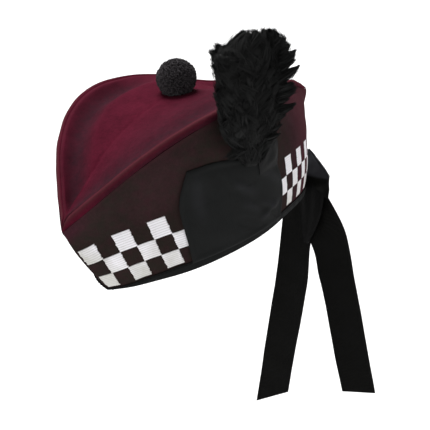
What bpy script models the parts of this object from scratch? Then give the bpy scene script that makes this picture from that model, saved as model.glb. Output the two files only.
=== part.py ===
"""Glengarry: a felt cap with a diced band, a ribbon patch with a plume, a toorie and two rear tails.

Units are metres and +Z is up. The cap's front points to -X and the wearer's left side to -Y.
The origin is the middle of the head opening, where the rim grips the head.
The cap is worn with its nose tipped down, and its tails and plume stand plumb.
"""
import math

import bmesh
import bpy
import numpy as np
from mathutils import Vector

# Walls and clearances
GAP = 0.0003
FELT = 0.0024
RIBBON = 0.0010
DICE_RISE = 0.0008

# Rim and diced band
RIM_LENGTH = 0.2224
RIM_WIDTH = 0.1356
RIM_ARCH = 0.0197
BINDING_WIDTH = 0.0062
BINDING_INSIDE = 0.0062
DICE = 0.0133
DICE_ROWS = 3
DICE_NECK = 0.0004
BAND_LENGTH = 0.2565
BAND_WIDTH = 0.1373
BAND_FORWARD = 0.0106
BAND_SWELL = 0.0019
BAND_HEIGHT = BINDING_WIDTH + DICE_ROWS * DICE

# Crown
CROWN_LENGTH = 0.2735
CROWN_WIDTH = 0.1405
CROWN_HEIGHT = 0.1287
CROWN_FORWARD = 0.0117
SIDE_SWELL = 0.0030
ROLL = 0.0050
NOSE_HALF = 0.0035
GROOVE_DEPTH = 0.0040
CREASE_DEPTH = 0.0065
NOSE_DOWN = math.radians(10.4)

# Each section is a place along one half of the cap, from the front seam (0) to the back seam (1).
# Lengths are shares: along of the ring's length, out of its half width, rim_up of RIM_ARCH,
# band_up of BAND_HEIGHT, ridge_up of CROWN_HEIGHT and hem of BINDING_WIDTH.
SECTION_COLUMNS = ("place", "rim_along", "rim_out", "rim_up", "hem",
                   "band_along", "band_out", "band_up", "ridge_out", "ridge_up")
SECTIONS = (
    (0.00, -0.500, 0.000, -0.19, 0.40, -0.500, 0.000, 0.95, 0.000, 0.507),
    (0.04, -0.495, 0.178, -0.02, 0.45, -0.457, 0.109, 0.96, 0.190, 0.597),
    (0.08, -0.473, 0.328, 0.15, 0.50, -0.421, 0.224, 0.97, 0.353, 0.680),
    (0.14, -0.423, 0.508, 0.37, 0.55, -0.374, 0.417, 0.98, 0.563, 0.789),
    (0.20, -0.369, 0.670, 0.55, 0.65, -0.322, 0.595, 0.99, 0.733, 0.874),
    (0.35, -0.210, 0.950, 0.88, 0.85, -0.172, 0.924, 1.00, 0.975, 0.986),
    (0.50, -0.033, 0.976, 1.00, 1.00, 0.001, 0.999, 1.00, 0.967, 0.997),
    (0.65, 0.141, 0.794, 0.93, 1.00, 0.172, 0.842, 1.00, 0.761, 0.940),
    (0.72, 0.222, 0.672, 0.81, 1.00, 0.249, 0.724, 1.00, 0.622, 0.885),
    (0.80, 0.309, 0.517, 0.66, 1.00, 0.330, 0.570, 1.00, 0.443, 0.842),
    (0.92, 0.427, 0.228, 0.31, 1.00, 0.442, 0.265, 1.00, 0.170, 0.780),
    (1.00, 0.500, 0.000, 0.00, 1.00, 0.500, 0.000, 1.00, 0.000, 0.703),
)

# The crown between its ridge (0) and its middle (1): how much of each dip lies there.
CROWN_COLUMNS = ("inward", "groove", "crease")
CROWN_DIPS = (
    (0.00, 0.0, 0.00),
    (0.18, 1.0, 0.15),
    (0.38, 0.1, 0.40),
    (0.68, 0.0, 0.80),
    (1.00, 0.0, 1.00),
)
ROLL_STEPS = 3
ROLL_SHARE = 0.45
SIDE_STEPS = 5
SEAM_FADE = 0.08
DIP_FADE = 0.15
TIGHT_COLUMNS = 2
LAST_STRIP = 0.125
RUN_SAMPLES = 801
PROBE = 0.001

# Toorie, the wool pompom on the crown
TOORIE_RADIUS = 0.0150
TOORIE_PLACE = 0.470
TOORIE_SINK = 0.0010
TOORIE_TUFTS = 34
TOORIE_TUFT_RISE = 0.0012
TOORIE_TUFT_ROOT = 0.75
TOORIE_TUFT_WIDTH = 0.0075
TOORIE_TUFT_DEPTH = 0.0050
TOORIE_TUFT_SPAN = 1.5

# Ribbon patch on the wearer's left, over the dicing. Edges are shares of its width and height.
PATCH_WIDTH = 0.0900
PATCH_HEIGHT = 0.0740
PATCH_COLUMN = 6
PATCH_FOOT = 0.0050
PATCH_TOP_COLUMNS = ("across", "top")
PATCH_TOP = ((0.00, 1.00), (0.30, 0.96), (0.55, 0.88), (0.75, 0.84), (1.00, 0.70))
PATCH_SIDE_COLUMNS = ("up", "front", "rear")
PATCH_SIDES = ((0.00, 0.000, 0.97), (0.50, 0.010, 1.02), (1.00, 0.035, 0.96))
PATCH_ACROSS = 8
PATCH_UP = 6

# Folded ribbon beside the plume's foot, placed from the patch's front edge and foot
FOLD_WIDTH = 0.0270
FOLD_HEIGHT = 0.0270
FOLD_ALONG = 0.0630
FOLD_UP = 0.0450
FOLD_SLOPE = 0.25
FOLD_ACROSS = 4
FOLD_ROWS = 3

# Plume. Its body's rows are shares of its height, of its width to the front and rear, and of its depth.
PLUME_HEIGHT = 0.0960
PLUME_WIDTH = 0.0800
PLUME_DEPTH = 0.0380
PLUME_LEAN = 0.0190
PLUME_ALONG = 0.0560
PLUME_UP = 0.0585
PLUME_COLUMNS = ("up", "front", "rear", "depth")
PLUME_ROWS = (
    (0.00, 0.11, 0.13, 0.36),
    (0.08, 0.25, 0.18, 0.60),
    (0.21, 0.36, 0.29, 0.85),
    (0.31, 0.39, 0.35, 0.95),
    (0.46, 0.41, 0.42, 1.00),
    (0.60, 0.45, 0.44, 1.00),
    (0.75, 0.49, 0.50, 1.00),
    (0.84, 0.44, 0.51, 0.95),
    (0.92, 0.36, 0.45, 0.80),
    (1.00, 0.16, 0.29, 0.40),
)
PLUME_SIDES = 12
PLUME_CORE = 0.74
LOCK_RINGS = 7
LOCK_RING_FIRST = 0.14
LOCK_RING_LAST = 0.90
LOCKS_PER_RING = 10
LOCK_ROOT = 0.40
LOCK_BEND = 0.92
LOCK_RISE_LOW = 0.0042
LOCK_RISE_HIGH = 0.0128
LOCK_WIDTH = 0.0120
LOCK_DEPTH = 0.0042
LOCK_SEED = 7

# Blades of the plume and tufts of the toorie: width at shares of their length, before the tip.
LOCK_COLUMNS = ("along", "width")
LOCK_ROWS = ((0.00, 0.70), (0.45, 1.00), (0.78, 0.72))

# Rear ribbons. A tail's rows are shares of its length down and aside, and of the ribbon's width.
TAIL_WIDTH = 0.0350
TAIL_STEPS = 10
BOW_HALF = 0.0275
BOW_HEIGHT = 0.0190
BOW_DEPTH = 0.0050
BOW_TOP = 0.0560
BOW_DROP = 0.0190
BOW_PINCH = 0.55
BOW_SIDES = 20
SEAT_SAMPLES = 41
BOW_ROUNDING = 0.8
TAIL_COLUMNS = ("down", "aside", "width")
LEFT_TAIL = 0.1960
LEFT_TAIL_ROWS = (
    (0.00, -0.020, 0.45),
    (0.13, -0.065, 0.70),
    (0.26, -0.130, 0.95),
    (0.50, -0.190, 1.00),
    (0.75, -0.258, 1.00),
    (1.00, -0.320, 1.00),
)
LEFT_TAIL_SLANT = 0.0060
RIGHT_TAIL = 0.2200
RIGHT_TAIL_ROWS = (
    (0.00, 0.020, 0.45),
    (0.13, 0.025, 0.70),
    (0.28, 0.043, 0.92),
    (0.48, 0.063, 0.98),
    (0.75, 0.108, 1.00),
    (1.00, 0.163, 1.00),
)
RIGHT_TAIL_SLANT = -0.0150

# Finishes: linear colour and roughness
FINISHES = {
    "side_felt": ((0.105, 0.012, 0.028), 0.95),
    "crown_felt": ((0.130, 0.014, 0.036), 0.95),
    "white_embroidery": ((0.780, 0.760, 0.800), 0.60),
    "ribbon": ((0.012, 0.012, 0.014), 0.55),
    "feather": ((0.008, 0.009, 0.010), 0.60),
    "wool": ((0.016, 0.011, 0.012), 0.95),
}
SHARP = math.radians(35)


def table_column(rows, columns, name):
    return np.array([row[columns.index(name)] for row in rows])


def smooth(places, values, at):
    """Natural cubic through the rows of a table."""
    count = len(places)
    step = np.diff(places)
    matrix = np.eye(count)
    right = np.zeros(count)
    for i in range(1, count - 1):
        matrix[i, i - 1:i + 2] = step[i - 1], 2 * (step[i - 1] + step[i]), step[i]
        right[i] = 6 * ((values[i + 1] - values[i]) / step[i] - (values[i] - values[i - 1]) / step[i - 1])
    bend = np.linalg.solve(matrix, right)
    at = np.clip(np.asarray(at, float), places[0], places[-1])
    k = np.clip(np.searchsorted(places, at, side="right") - 1, 0, count - 2)
    before = at - places[k]
    after = places[k + 1] - at
    curve = (bend[k] * after ** 3 + bend[k + 1] * before ** 3) / (6 * step[k])
    chord = (values[k] / step[k] - bend[k] * step[k] / 6) * after
    return curve + chord + (values[k + 1] / step[k] - bend[k + 1] * step[k] / 6) * before


def read(rows, columns, name, at):
    """A table's named column, smoothed along its first column."""
    return smooth(table_column(rows, columns, columns[0]), table_column(rows, columns, name), at)


def section(name, place):
    return read(SECTIONS, SECTION_COLUMNS, name, place)


def unit(vectors):
    return vectors / np.linalg.norm(vectors, axis=-1, keepdims=True)


def rim_ring(place):
    """Lower ring of the left half, where the band's felt would end without its hem."""
    along = section("rim_along", place) * RIM_LENGTH
    out = section("rim_out", place) * RIM_WIDTH / 2
    return np.stack([along, -out, section("rim_up", place) * RIM_ARCH], -1)


def band_ring(place):
    """Top line of the dicing."""
    along = section("band_along", place) * BAND_LENGTH - BAND_FORWARD
    out = section("band_out", place) * BAND_WIDTH / 2
    up = section("rim_up", place) * RIM_ARCH + section("band_up", place) * BAND_HEIGHT
    return np.stack([along, -out, up], -1)


def ridge_ring(place):
    """Crest where the side turns over into the crown."""
    along = (np.asarray(place, float) - 0.5) * CROWN_LENGTH - CROWN_FORWARD
    out = section("ridge_out", place) * CROWN_WIDTH / 2
    return np.stack([along, -out, section("ridge_up", place) * CROWN_HEIGHT], -1)


def outline_normal(place):
    """Level direction out of the band."""
    ahead = band_ring(np.clip(place + PROBE, 0, 1))
    run = ahead - band_ring(np.clip(place - PROBE, 0, 1))
    return unit(np.stack([run[..., 1], -run[..., 0], 0 * run[..., 0]], -1))


def wall(place, level):
    """Outer face of the left half: level 0 to 1 is the band, 1 to 2 the side up to the crown's seam."""
    place, level = np.broadcast_arrays(np.asarray(place, float), np.asarray(level, float))
    rim = rim_ring(place)
    band = band_ring(place)
    seam = ridge_ring(place) - np.array([0, 0, ROLL + GAP])
    out = outline_normal(place)
    fade = np.minimum(1, np.minimum(place, 1 - place) / SEAM_FADE)
    swell = BAND_SWELL * np.sin(math.pi * np.clip(level, 0, 1)) * fade
    lower = rim + (band - rim) * level[..., None] + out * swell[..., None]
    height = np.linalg.norm(seam - band, axis=-1)[..., None]
    pull = band + unit(band - rim) * height / 3
    lean = seam - (seam - band) / 3 + out * (SIDE_SWELL * fade)[..., None]
    t = np.clip(level - 1, 0, 1)[..., None]
    upper = band * (1 - t) ** 3 + pull * 3 * t * (1 - t) ** 2 + lean * 3 * t * t * (1 - t) + seam * t ** 3
    return np.where(level[..., None] <= 1, lower, upper)


def wall_normal(place, level):
    along = wall(np.clip(place + PROBE, 0, 1), level) - wall(np.clip(place - PROBE, 0, 1), level)
    low = np.where(level > 1, np.clip(level - PROBE, 1, 2), level - PROBE)
    high = np.where(level > 1, np.clip(level + PROBE, 1, 2), level + PROBE)
    return unit(np.cross(along, wall(place, high) - wall(place, low)))


def band_lengths():
    """Places along the band and how far each lies from the front seam, on its middle line."""
    places = np.linspace(0, 1, RUN_SAMPLES)
    middle = wall(places, 0.5)
    steps = np.linalg.norm(np.diff(middle, axis=0), axis=1)
    return places, np.concatenate([[0], np.cumsum(steps)])


BAND_PLACES, BAND_RUN = band_lengths()
DICE_COLUMNS = int(BAND_RUN[-1] // DICE)


def place_of(run):
    """Place of a point that lies this far along the band from the front seam."""
    return np.interp(run, BAND_RUN, BAND_PLACES)


def level_of(place, height):
    """Level of a point this high above the rim, measured up the wall."""
    side = np.linalg.norm(ridge_ring(place) - band_ring(place), axis=-1)
    return np.where(height <= BAND_HEIGHT, height / BAND_HEIGHT, 1 + (height - BAND_HEIGHT) / side)


def on_wall(run, height, lift):
    """Point on the left wall, lifted clear of it."""
    place = place_of(run)
    level = level_of(place, height)
    return wall(place, level) + wall_normal(place, level) * lift


def keep_left(points):
    """The two halves stop short of the cap's middle plane."""
    points = points.copy()
    points[..., 1] = np.minimum(points[..., 1], -GAP / 2)
    return points


def stations():
    """Places of the cap's cross sections: the dicing's columns, closer at the tight ends."""
    runs = [k * DICE for k in range(DICE_COLUMNS + 1)]
    runs += [(k + 0.5) * DICE for k in range(TIGHT_COLUMNS)]
    runs += [(DICE_COLUMNS - k - 0.5) * DICE for k in range(TIGHT_COLUMNS)]
    if BAND_RUN[-1] - DICE_COLUMNS * DICE > DICE * LAST_STRIP:
        runs.append(BAND_RUN[-1])
    places = place_of(np.array(sorted(runs)))
    places[-1] = 1
    return places


STATIONS = stations()


def tilt(points):
    """From the cap's own frame to the level world."""
    c = math.cos(NOSE_DOWN)
    s = math.sin(NOSE_DOWN)
    return np.asarray(points) @ np.array([[c, 0, -s], [0, 1, 0], [s, 0, c]]).T


def clear_scene():
    for item in list(bpy.data.objects):
        bpy.data.objects.remove(item)


def finish(name):
    """A plain material."""
    colour, roughness = FINISHES[name]
    material = bpy.data.materials.new(name)
    material.use_nodes = True
    shader = material.node_tree.nodes["Principled BSDF"]
    shader.inputs["Base Color"].default_value = (*colour, 1)
    shader.inputs["Roughness"].default_value = roughness
    shader.inputs["Metallic"].default_value = 0
    return material


def solid(name, points, faces, material, parent=None):
    """One closed body with its faces turned outward."""
    mesh = bpy.data.meshes.new(name)
    build = bmesh.new()
    corners = [build.verts.new(point) for point in points]
    for face in faces:
        build.faces.new([corners[i] for i in face])
    bmesh.ops.recalc_face_normals(build, faces=build.faces)
    build.to_mesh(mesh)
    build.free()
    mesh.materials.append(material)
    mesh.shade_smooth()
    mesh.set_sharp_from_angle(angle=SHARP)
    item = bpy.data.objects.new(name, mesh)
    bpy.context.scene.collection.objects.link(item)
    item.parent = parent
    return item


def shell(outer, inner):
    """Points and faces of a wall between two grids of the same size."""
    rows, cols = outer.shape[:2]
    count = rows * cols
    points = np.concatenate([outer.reshape(-1, 3), inner.reshape(-1, 3)])
    faces = []
    for i in range(rows - 1):
        for j in range(cols - 1):
            a, b = i * cols + j, (i + 1) * cols + j
            faces.append((a, b, b + 1, a + 1))
            faces.append((count + a, count + a + 1, count + b + 1, count + b))
    loop = [i * cols for i in range(rows)]
    loop += [(rows - 1) * cols + j for j in range(1, cols)]
    loop += [i * cols + cols - 1 for i in range(rows - 2, -1, -1)]
    loop += [j for j in range(cols - 2, 0, -1)]
    for a, b in zip(loop, loop[1:] + loop[:1]):
        faces.append((b, a, count + a, count + b))
    return points, faces


def mirrored(points):
    return points * np.array([1, -1, 1])


def turned(face):
    """The face seen from behind, from the same first corner, so that it splits along the same diagonal."""
    return (face[0], *face[:0:-1])


def side_levels():
    """Rows of the side panel: the dicing's rows, then even steps up to the crown's seam."""
    band = [(BINDING_WIDTH + k * DICE) / BAND_HEIGHT for k in range(DICE_ROWS + 1)]
    return np.array(band + [1 + (k + 1) / SIDE_STEPS for k in range(SIDE_STEPS)])


def hem_level(place):
    """Where the felt ends: the binding is narrower round the front."""
    return (1 - section("hem", place)) * BINDING_WIDTH / BAND_HEIGHT


def side_grids():
    place = STATIONS[:, None]
    levels = np.concatenate([[0], side_levels()])
    level = np.where(levels[None, :] == 0, hem_level(place), levels[None, :])
    place = np.broadcast_to(place, level.shape)
    outer = wall(place, level)
    inner = outer - FELT * wall_normal(place, level)
    inner[:, -1] = outer[:, -1] - FELT * outline_normal(STATIONS)
    return keep_left(outer), keep_left(inner)


def make_sides(material, frame):
    outer, inner = side_grids()
    points, faces = shell(outer, inner)
    solid("side_left", points, faces, material, frame)
    solid("side_right", mirrored(points), [turned(face) for face in faces], material, frame)


def crown_section(place, half, crest, roll):
    """One cross section of the crown, from its left seam to its right seam."""
    turn = np.linspace(0, math.pi / 2, ROLL_STEPS)
    width = min(roll, ROLL_SHARE * half)
    out = half - width * (1 - np.cos(turn))
    up = crest - roll * (1 - np.sin(turn))
    inward, groove, crease = (table_column(CROWN_DIPS, CROWN_COLUMNS, name)[1:] for name in CROWN_COLUMNS)
    fade = min(1, min(place, 1 - place) / DIP_FADE)
    dip = groove * GROOVE_DEPTH + crease * CREASE_DEPTH
    out = np.concatenate([out, (half - width) * (1 - inward)])
    up = np.concatenate([up, crest - dip * fade])
    out = np.concatenate([-out, out[-2::-1]])
    return out, np.concatenate([up, up[-2::-1]])


def crown_ridges():
    """Ridge points at the stations. The crown starts where the sides are as wide as its nose."""
    ridges = ridge_ring(STATIONS)
    for end, inner in ((0, 1), (-1, -2)):
        ridges[end] += (ridges[inner] - ridges[end]) * NOSE_HALF / -ridges[inner][1]
    return ridges


def crown_grid(wall_depth):
    """Grid of the crown's face, taken in by a wall's depth."""
    rows = []
    middle = ridge_ring(0.5)[0]
    for place, ridge in zip(STATIONS, crown_ridges()):
        half = -ridge[1] - wall_depth
        out, up = crown_section(place, half, ridge[2] - wall_depth, ROLL - wall_depth)
        along = middle + (ridge[0] - middle) * (1 - 2 * wall_depth / CROWN_LENGTH)
        rows.append(np.stack([np.full(len(out), along), out, up], -1))
    return np.array(rows)


def make_crown(material, frame):
    outer = crown_grid(0)
    inner = crown_grid(FELT)
    rows, cols = outer.shape[:2]
    count = rows * cols
    faces = []
    for base in (0, count):
        for i in range(rows - 1):
            for j in range(cols - 1):
                a, b = base + i * cols + j, base + (i + 1) * cols + j
                quad = (a, b, b + 1, a + 1)
                faces.append(quad if base else quad[::-1])
        front = tuple(base + j for j in range(cols))
        back = tuple(base + (rows - 1) * cols + j for j in range(cols))
        faces += [front, back[::-1]] if base else [front[::-1], back]
    edge = [i * cols for i in range(rows)] + [i * cols + cols - 1 for i in range(rows - 1, -1, -1)]
    for a, b in zip(edge, edge[1:] + edge[:1]):
        faces.append((a, b, count + b, count + a))
    points = np.concatenate([outer.reshape(-1, 3), inner.reshape(-1, 3)])
    solid("crown_top", points, faces, material, frame)


def crown_middle(place):
    """Point of the crown's middle crease, in the cap's own frame."""
    ridge = ridge_ring(place)
    out, up = crown_section(place, -ridge[1], ridge[2], ROLL)
    return np.array([ridge[0], 0, up[len(up) // 2]])


def binding_section(place):
    """The ribbon's U-shaped section, folded over the rim."""
    hem = float(hem_level(place)) * BAND_HEIGHT
    depth = GAP + RIBBON
    top = BINDING_WIDTH - GAP
    corners = ((depth, hem - depth), (depth, top), (GAP, top), (GAP, hem - GAP),
               (-FELT - GAP, hem - GAP), (-FELT - GAP, hem + BINDING_INSIDE),
               (-FELT - depth, hem + BINDING_INSIDE), (-FELT - depth, hem - depth))
    out = wall_normal(np.array(place), np.array(0.5))
    if place in (0, 1):
        out = out * np.array([1, 0, 1])
        out = out / abs(out[0])
    points = []
    for lift, height in corners:
        points.append(wall(place, height / BAND_HEIGHT) + out * lift)
    return np.array(points)


def make_binding(material, frame):
    left = [binding_section(place) for place in STATIONS]
    right = [mirrored(row) for row in left[-2:0:-1]]
    rows = np.array(left + right)
    count, cols = rows.shape[:2]
    faces = []
    for i in range(count):
        for j in range(cols):
            k = (j + 1) % cols
            n = (i + 1) % count
            faces.append((i * cols + j, i * cols + k, n * cols + k, n * cols + j))
    solid("binding", rows.reshape(-1, 3), faces, material, frame)


def is_white(column, row):
    return 0 <= column < DICE_COLUMNS and 0 <= row < DICE_ROWS and (column + row) % 2 == 0


def dice_corner(column, row, east, north):
    """Where a white square ends at one corner: two neck points beside a white neighbour, or one."""
    x = column + (1 if east > 0 else 0)
    y = row + (1 if north > 0 else 0)
    if not is_white(column + east, row + north):
        return [(x, y)]
    neck = DICE_NECK / DICE
    pair = [(x + east * neck, y - north * neck), (x - east * neck, y + north * neck)]
    return pair if east == north else pair[::-1]


def dice_outline(column, row):
    """Corner points of one white square, anticlockwise, and which edges are necks."""
    points = []
    necks = []
    for east, north in ((-1, -1), (1, -1), (1, 1), (-1, 1)):
        corner = dice_corner(column, row, east, north)
        if len(corner) == 2:
            necks.append((len(points), len(points) + 1))
        points += corner
    return points, necks


def make_dicing(name, flip, material, frame):
    """White squares of one side, joined corner to corner, standing proud of the felt."""
    index = {}
    points = []
    faces = []

    def vertex(x, y, lift):
        key = (round(x, 4), round(y, 4), lift)
        if key not in index:
            index[key] = len(points)
            run = x * DICE
            height = BINDING_WIDTH + y * DICE
            if y <= 0:
                height += GAP
            points.append(keep_left(on_wall(run, height, lift)))
        return index[key]

    low = GAP
    high = GAP + DICE_RISE
    for column in range(DICE_COLUMNS):
        for row in range(DICE_ROWS):
            if not is_white(column, row):
                continue
            outline, necks = dice_outline(column, row)
            middle = column + 0.5
            split = bool(np.any(np.isclose(STATIONS, place_of(middle * DICE))))
            rim = []
            for k, (x, y) in enumerate(outline):
                rim.append((x, y))
                nx, ny = outline[(k + 1) % len(outline)]
                if split and (x - middle) * (nx - middle) < 0:
                    rim.append((middle, (y + ny) / 2))
            neck_pairs = {frozenset((outline[a], outline[b])) for a, b in necks}
            if split:
                parts = [[p for p in rim if p[0] <= middle], [p for p in rim if p[0] >= middle]]
                parts[0] = rotate_to_run(parts[0], rim)
                parts[1] = rotate_to_run(parts[1], rim)
            else:
                parts = [rim]
            for part in parts:
                faces.append([vertex(x, y, high) for x, y in part])
                faces.append([vertex(x, y, low) for x, y in part][::-1])
            for k, start in enumerate(rim):
                end = rim[(k + 1) % len(rim)]
                if frozenset((start, end)) in neck_pairs:
                    continue
                foot = [vertex(*start, low), vertex(*end, low)]
                faces.append(foot + [vertex(*end, high), vertex(*start, high)])
    points = np.array(points)
    if flip:
        points = mirrored(points)
        faces = [turned(face) for face in faces]
    solid(name, points, faces, material, frame)


def rotate_to_run(part, rim):
    """The part's points in the rim's order, starting after the cut."""
    order = [rim.index(p) for p in part]
    cut = next((k for k in range(1, len(order)) if order[k] != order[k - 1] + 1), 0)
    return part[cut:] + part[:cut]


PATCH_START = PATCH_COLUMN * DICE + DICE_NECK + GAP
PATCH_LIFT = GAP + max(DICE_RISE, RIBBON) + GAP
FOLD_LIFT = PATCH_LIFT + RIBBON + GAP


def patch_point(across, up, lift):
    front = read(PATCH_SIDES, PATCH_SIDE_COLUMNS, "front", up)
    rear = read(PATCH_SIDES, PATCH_SIDE_COLUMNS, "rear", up)
    top = read(PATCH_TOP, PATCH_TOP_COLUMNS, "top", across)
    run = PATCH_START + PATCH_WIDTH * (front + (rear - front) * across)
    return on_wall(run, PATCH_FOOT + PATCH_HEIGHT * top * up, lift)


def fold_point(across, up, lift):
    run = PATCH_START + FOLD_ALONG + FOLD_WIDTH * across
    height = PATCH_FOOT + FOLD_UP + FOLD_HEIGHT * up * (1 - FOLD_SLOPE * across)
    return on_wall(run, height, lift)


def make_cloth(name, point, lift, steps, material, frame):
    """A sheet of ribbon that lies on the left wall at this lift."""
    across = np.linspace(0, 1, steps[0] + 1)[:, None]
    up = np.linspace(0, 1, steps[1] + 1)[None, :]
    across, up = np.broadcast_arrays(across, up)
    points, faces = shell(point(across, up, lift + RIBBON), point(across, up, lift))
    solid(name, points, faces, material, frame)


def fused(name, core, extras, material, parent=None):
    """Union of a core and the pieces rooted in it, as one body."""
    group = bpy.data.collections.new(name + "_pieces")
    for extra in extras:
        bpy.context.scene.collection.objects.unlink(extra)
        group.objects.link(extra)
    bpy.context.scene.collection.children.link(group)
    join = core.modifiers.new("join", "BOOLEAN")
    join.operation = "UNION"
    join.solver = "EXACT"
    join.operand_type = "COLLECTION"
    join.collection = group
    view = bpy.context.evaluated_depsgraph_get()
    mesh = bpy.data.meshes.new_from_object(core.evaluated_get(view), depsgraph=view)
    core.modifiers.clear()
    core.data = mesh
    core.name = name
    core.parent = parent
    mesh.materials.clear()
    mesh.materials.append(material)
    for extra in extras:
        bpy.data.objects.remove(extra)
    bpy.data.collections.remove(group)
    return core


def lock(root, bend, tip, width, depth, material):
    """A flat blade with four edges along a bent line, rooted inside its core and pointed at its tip."""
    side = unit(np.cross(bend - root, tip - bend + np.array([0, 0, width])))
    points = []
    rows = [table_column(LOCK_ROWS, LOCK_COLUMNS, name) for name in LOCK_COLUMNS]
    for along, size in zip(*rows):
        centre = root * (1 - along) ** 2 + bend * 2 * along * (1 - along) + tip * along ** 2
        run = unit((bend - root) * (1 - along) + (tip - bend) * along)
        face = np.cross(side, run)
        half_width = side * width / 2 * size
        half_depth = face * depth / 2 * size
        points += [centre + half_width, centre + half_depth, centre - half_width, centre - half_depth]
    points.append(tip)
    faces = [(3, 2, 1, 0)]
    last = 4 * (len(LOCK_ROWS) - 1)
    for k in range(4):
        n = (k + 1) % 4
        for base in range(0, last, 4):
            faces.append((base + k, base + n, base + 4 + n, base + 4 + k))
        faces.append((last + k, last + n, last + 4))
    return solid("lock", np.array(points), faces, material)


def make_toorie(material, frame):
    seat = crown_middle(TOORIE_PLACE)
    centre = seat + np.array([0, 0, TOORIE_RADIUS + GAP - TOORIE_SINK])
    mesh = bpy.data.meshes.new("toorie_core")
    build = bmesh.new()
    bmesh.ops.create_icosphere(build, subdivisions=3, radius=TOORIE_RADIUS)
    for vert in build.verts:
        vert.co.z = max(vert.co.z, TOORIE_SINK - TOORIE_RADIUS)
        vert.co += Vector(centre)
    build.to_mesh(mesh)
    build.free()
    core = bpy.data.objects.new("toorie_core", mesh)
    bpy.context.scene.collection.objects.link(core)
    extras = []
    golden = math.pi * (3 - math.sqrt(5))
    for k in range(TOORIE_TUFTS):
        up = 1 - TOORIE_TUFT_SPAN * (k + 0.5) / TOORIE_TUFTS
        flat = math.sqrt(1 - up * up)
        way = np.array([math.cos(k * golden) * flat, math.sin(k * golden) * flat, up])
        root = centre + way * TOORIE_RADIUS * TOORIE_TUFT_ROOT
        tip = centre + way * (TOORIE_RADIUS + TOORIE_TUFT_RISE)
        extras.append(lock(root, (root + tip) / 2, tip, TOORIE_TUFT_WIDTH, TOORIE_TUFT_DEPTH, material))
    fused("toorie", core, extras, material, frame)


def plume_root():
    """World point on the ribbon patch where the plume's foot stands."""
    return tilt(on_wall(PATCH_START + PLUME_ALONG, PATCH_FOOT + PLUME_UP, PATCH_LIFT + RIBBON + GAP))


def plume_point(up, angle, size):
    """Point on the plume's body. Its back keeps close to the cap, and it leans forward as it fills out."""
    front, rear, depth = (float(read(PLUME_ROWS, PLUME_COLUMNS, name, up)) for name in PLUME_COLUMNS[1:])
    c = math.cos(angle)
    reach = (rear if c > 0 else front) * PLUME_WIDTH
    half_depth = depth * PLUME_DEPTH / 2
    centre = plume_root() + np.array([-PLUME_LEAN * depth, -half_depth, PLUME_HEIGHT * up])
    return centre + size * np.array([c * reach, math.sin(angle) * half_depth, 0])


def make_plume(material):
    levels = table_column(PLUME_ROWS, PLUME_COLUMNS, "up")
    points = []
    for up in levels:
        # The foot is as wide as the plume there, so that its back meets the patch.
        size = PLUME_CORE if up > 0 else 1
        for k in range(PLUME_SIDES):
            points.append(plume_point(up, 2 * math.pi * k / PLUME_SIDES, size))
    faces = [tuple(range(PLUME_SIDES))[::-1]]
    for i in range(len(levels) - 1):
        for k in range(PLUME_SIDES):
            n = (k + 1) % PLUME_SIDES
            a, b = i * PLUME_SIDES, (i + 1) * PLUME_SIDES
            faces.append((a + k, a + n, b + n, b + k))
    faces.append(tuple((len(levels) - 1) * PLUME_SIDES + k for k in range(PLUME_SIDES)))
    core = solid("plume_core", np.array(points), faces, material)
    chance = np.random.default_rng(LOCK_SEED)
    extras = []
    for ring in range(LOCK_RINGS):
        up = LOCK_RING_FIRST + (LOCK_RING_LAST - LOCK_RING_FIRST) * ring / (LOCK_RINGS - 1)
        for k in range(LOCKS_PER_RING):
            angle = 2 * math.pi * (k + 0.5 * (ring % 2)) / LOCKS_PER_RING
            rise = chance.uniform(LOCK_RISE_LOW, LOCK_RISE_HIGH)
            root = plume_point(up, angle, LOCK_ROOT)
            bend = plume_point(up, angle, LOCK_BEND)
            tip = plume_point(up, angle, 1) + np.array([0, 0, rise])
            root[2] -= rise
            extras.append(lock(root, bend, tip, LOCK_WIDTH, LOCK_DEPTH, material))
    fused("plume", core, extras, material)


def rear_seat():
    """How far back the seam and the last squares reach, from the foot of the bow's middle upward."""
    heights = np.linspace(BINDING_WIDTH, BAND_HEIGHT, SEAT_SAMPLES)
    seam = tilt(wall(1.0, heights / BAND_HEIGHT))
    squares = tilt(on_wall(DICE_COLUMNS * DICE, heights, GAP + DICE_RISE))
    points = np.concatenate([seam, squares])
    return points[points[:, 2] > BOW_TOP - BOW_HEIGHT, 0].max()


def bow_middle():
    """World x of the bow's middle plane."""
    return rear_seat() + GAP + BOW_PINCH * BOW_DEPTH / 2


def make_tail(name, length, rows, slant, x, material):
    """A flat ribbon that hangs in the plane across the back, with its end cut on a slant."""
    down = np.linspace(0, 1, TAIL_STEPS + 1)
    aside = read(rows, TAIL_COLUMNS, "aside", down)
    width = read(rows, TAIL_COLUMNS, "width", down) * TAIL_WIDTH
    line = np.stack([aside * length, BOW_TOP - BOW_HEIGHT / 2 - down * length], -1)
    run = np.gradient(line, axis=0)
    across = unit(np.stack([-run[:, 1], run[:, 0]], -1))
    face = np.empty((len(down), 3, 3))
    for k, share in enumerate((-0.5, 0, 0.5)):
        face[:, k, 0] = x
        face[:, k, 1:] = line + across * (width * share)[:, None]
        face[-1, k, 2] += slant * 2 * share
    points, faces = shell(face + np.array([RIBBON, 0, 0]), face)
    solid(name, points, faces, material)


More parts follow.
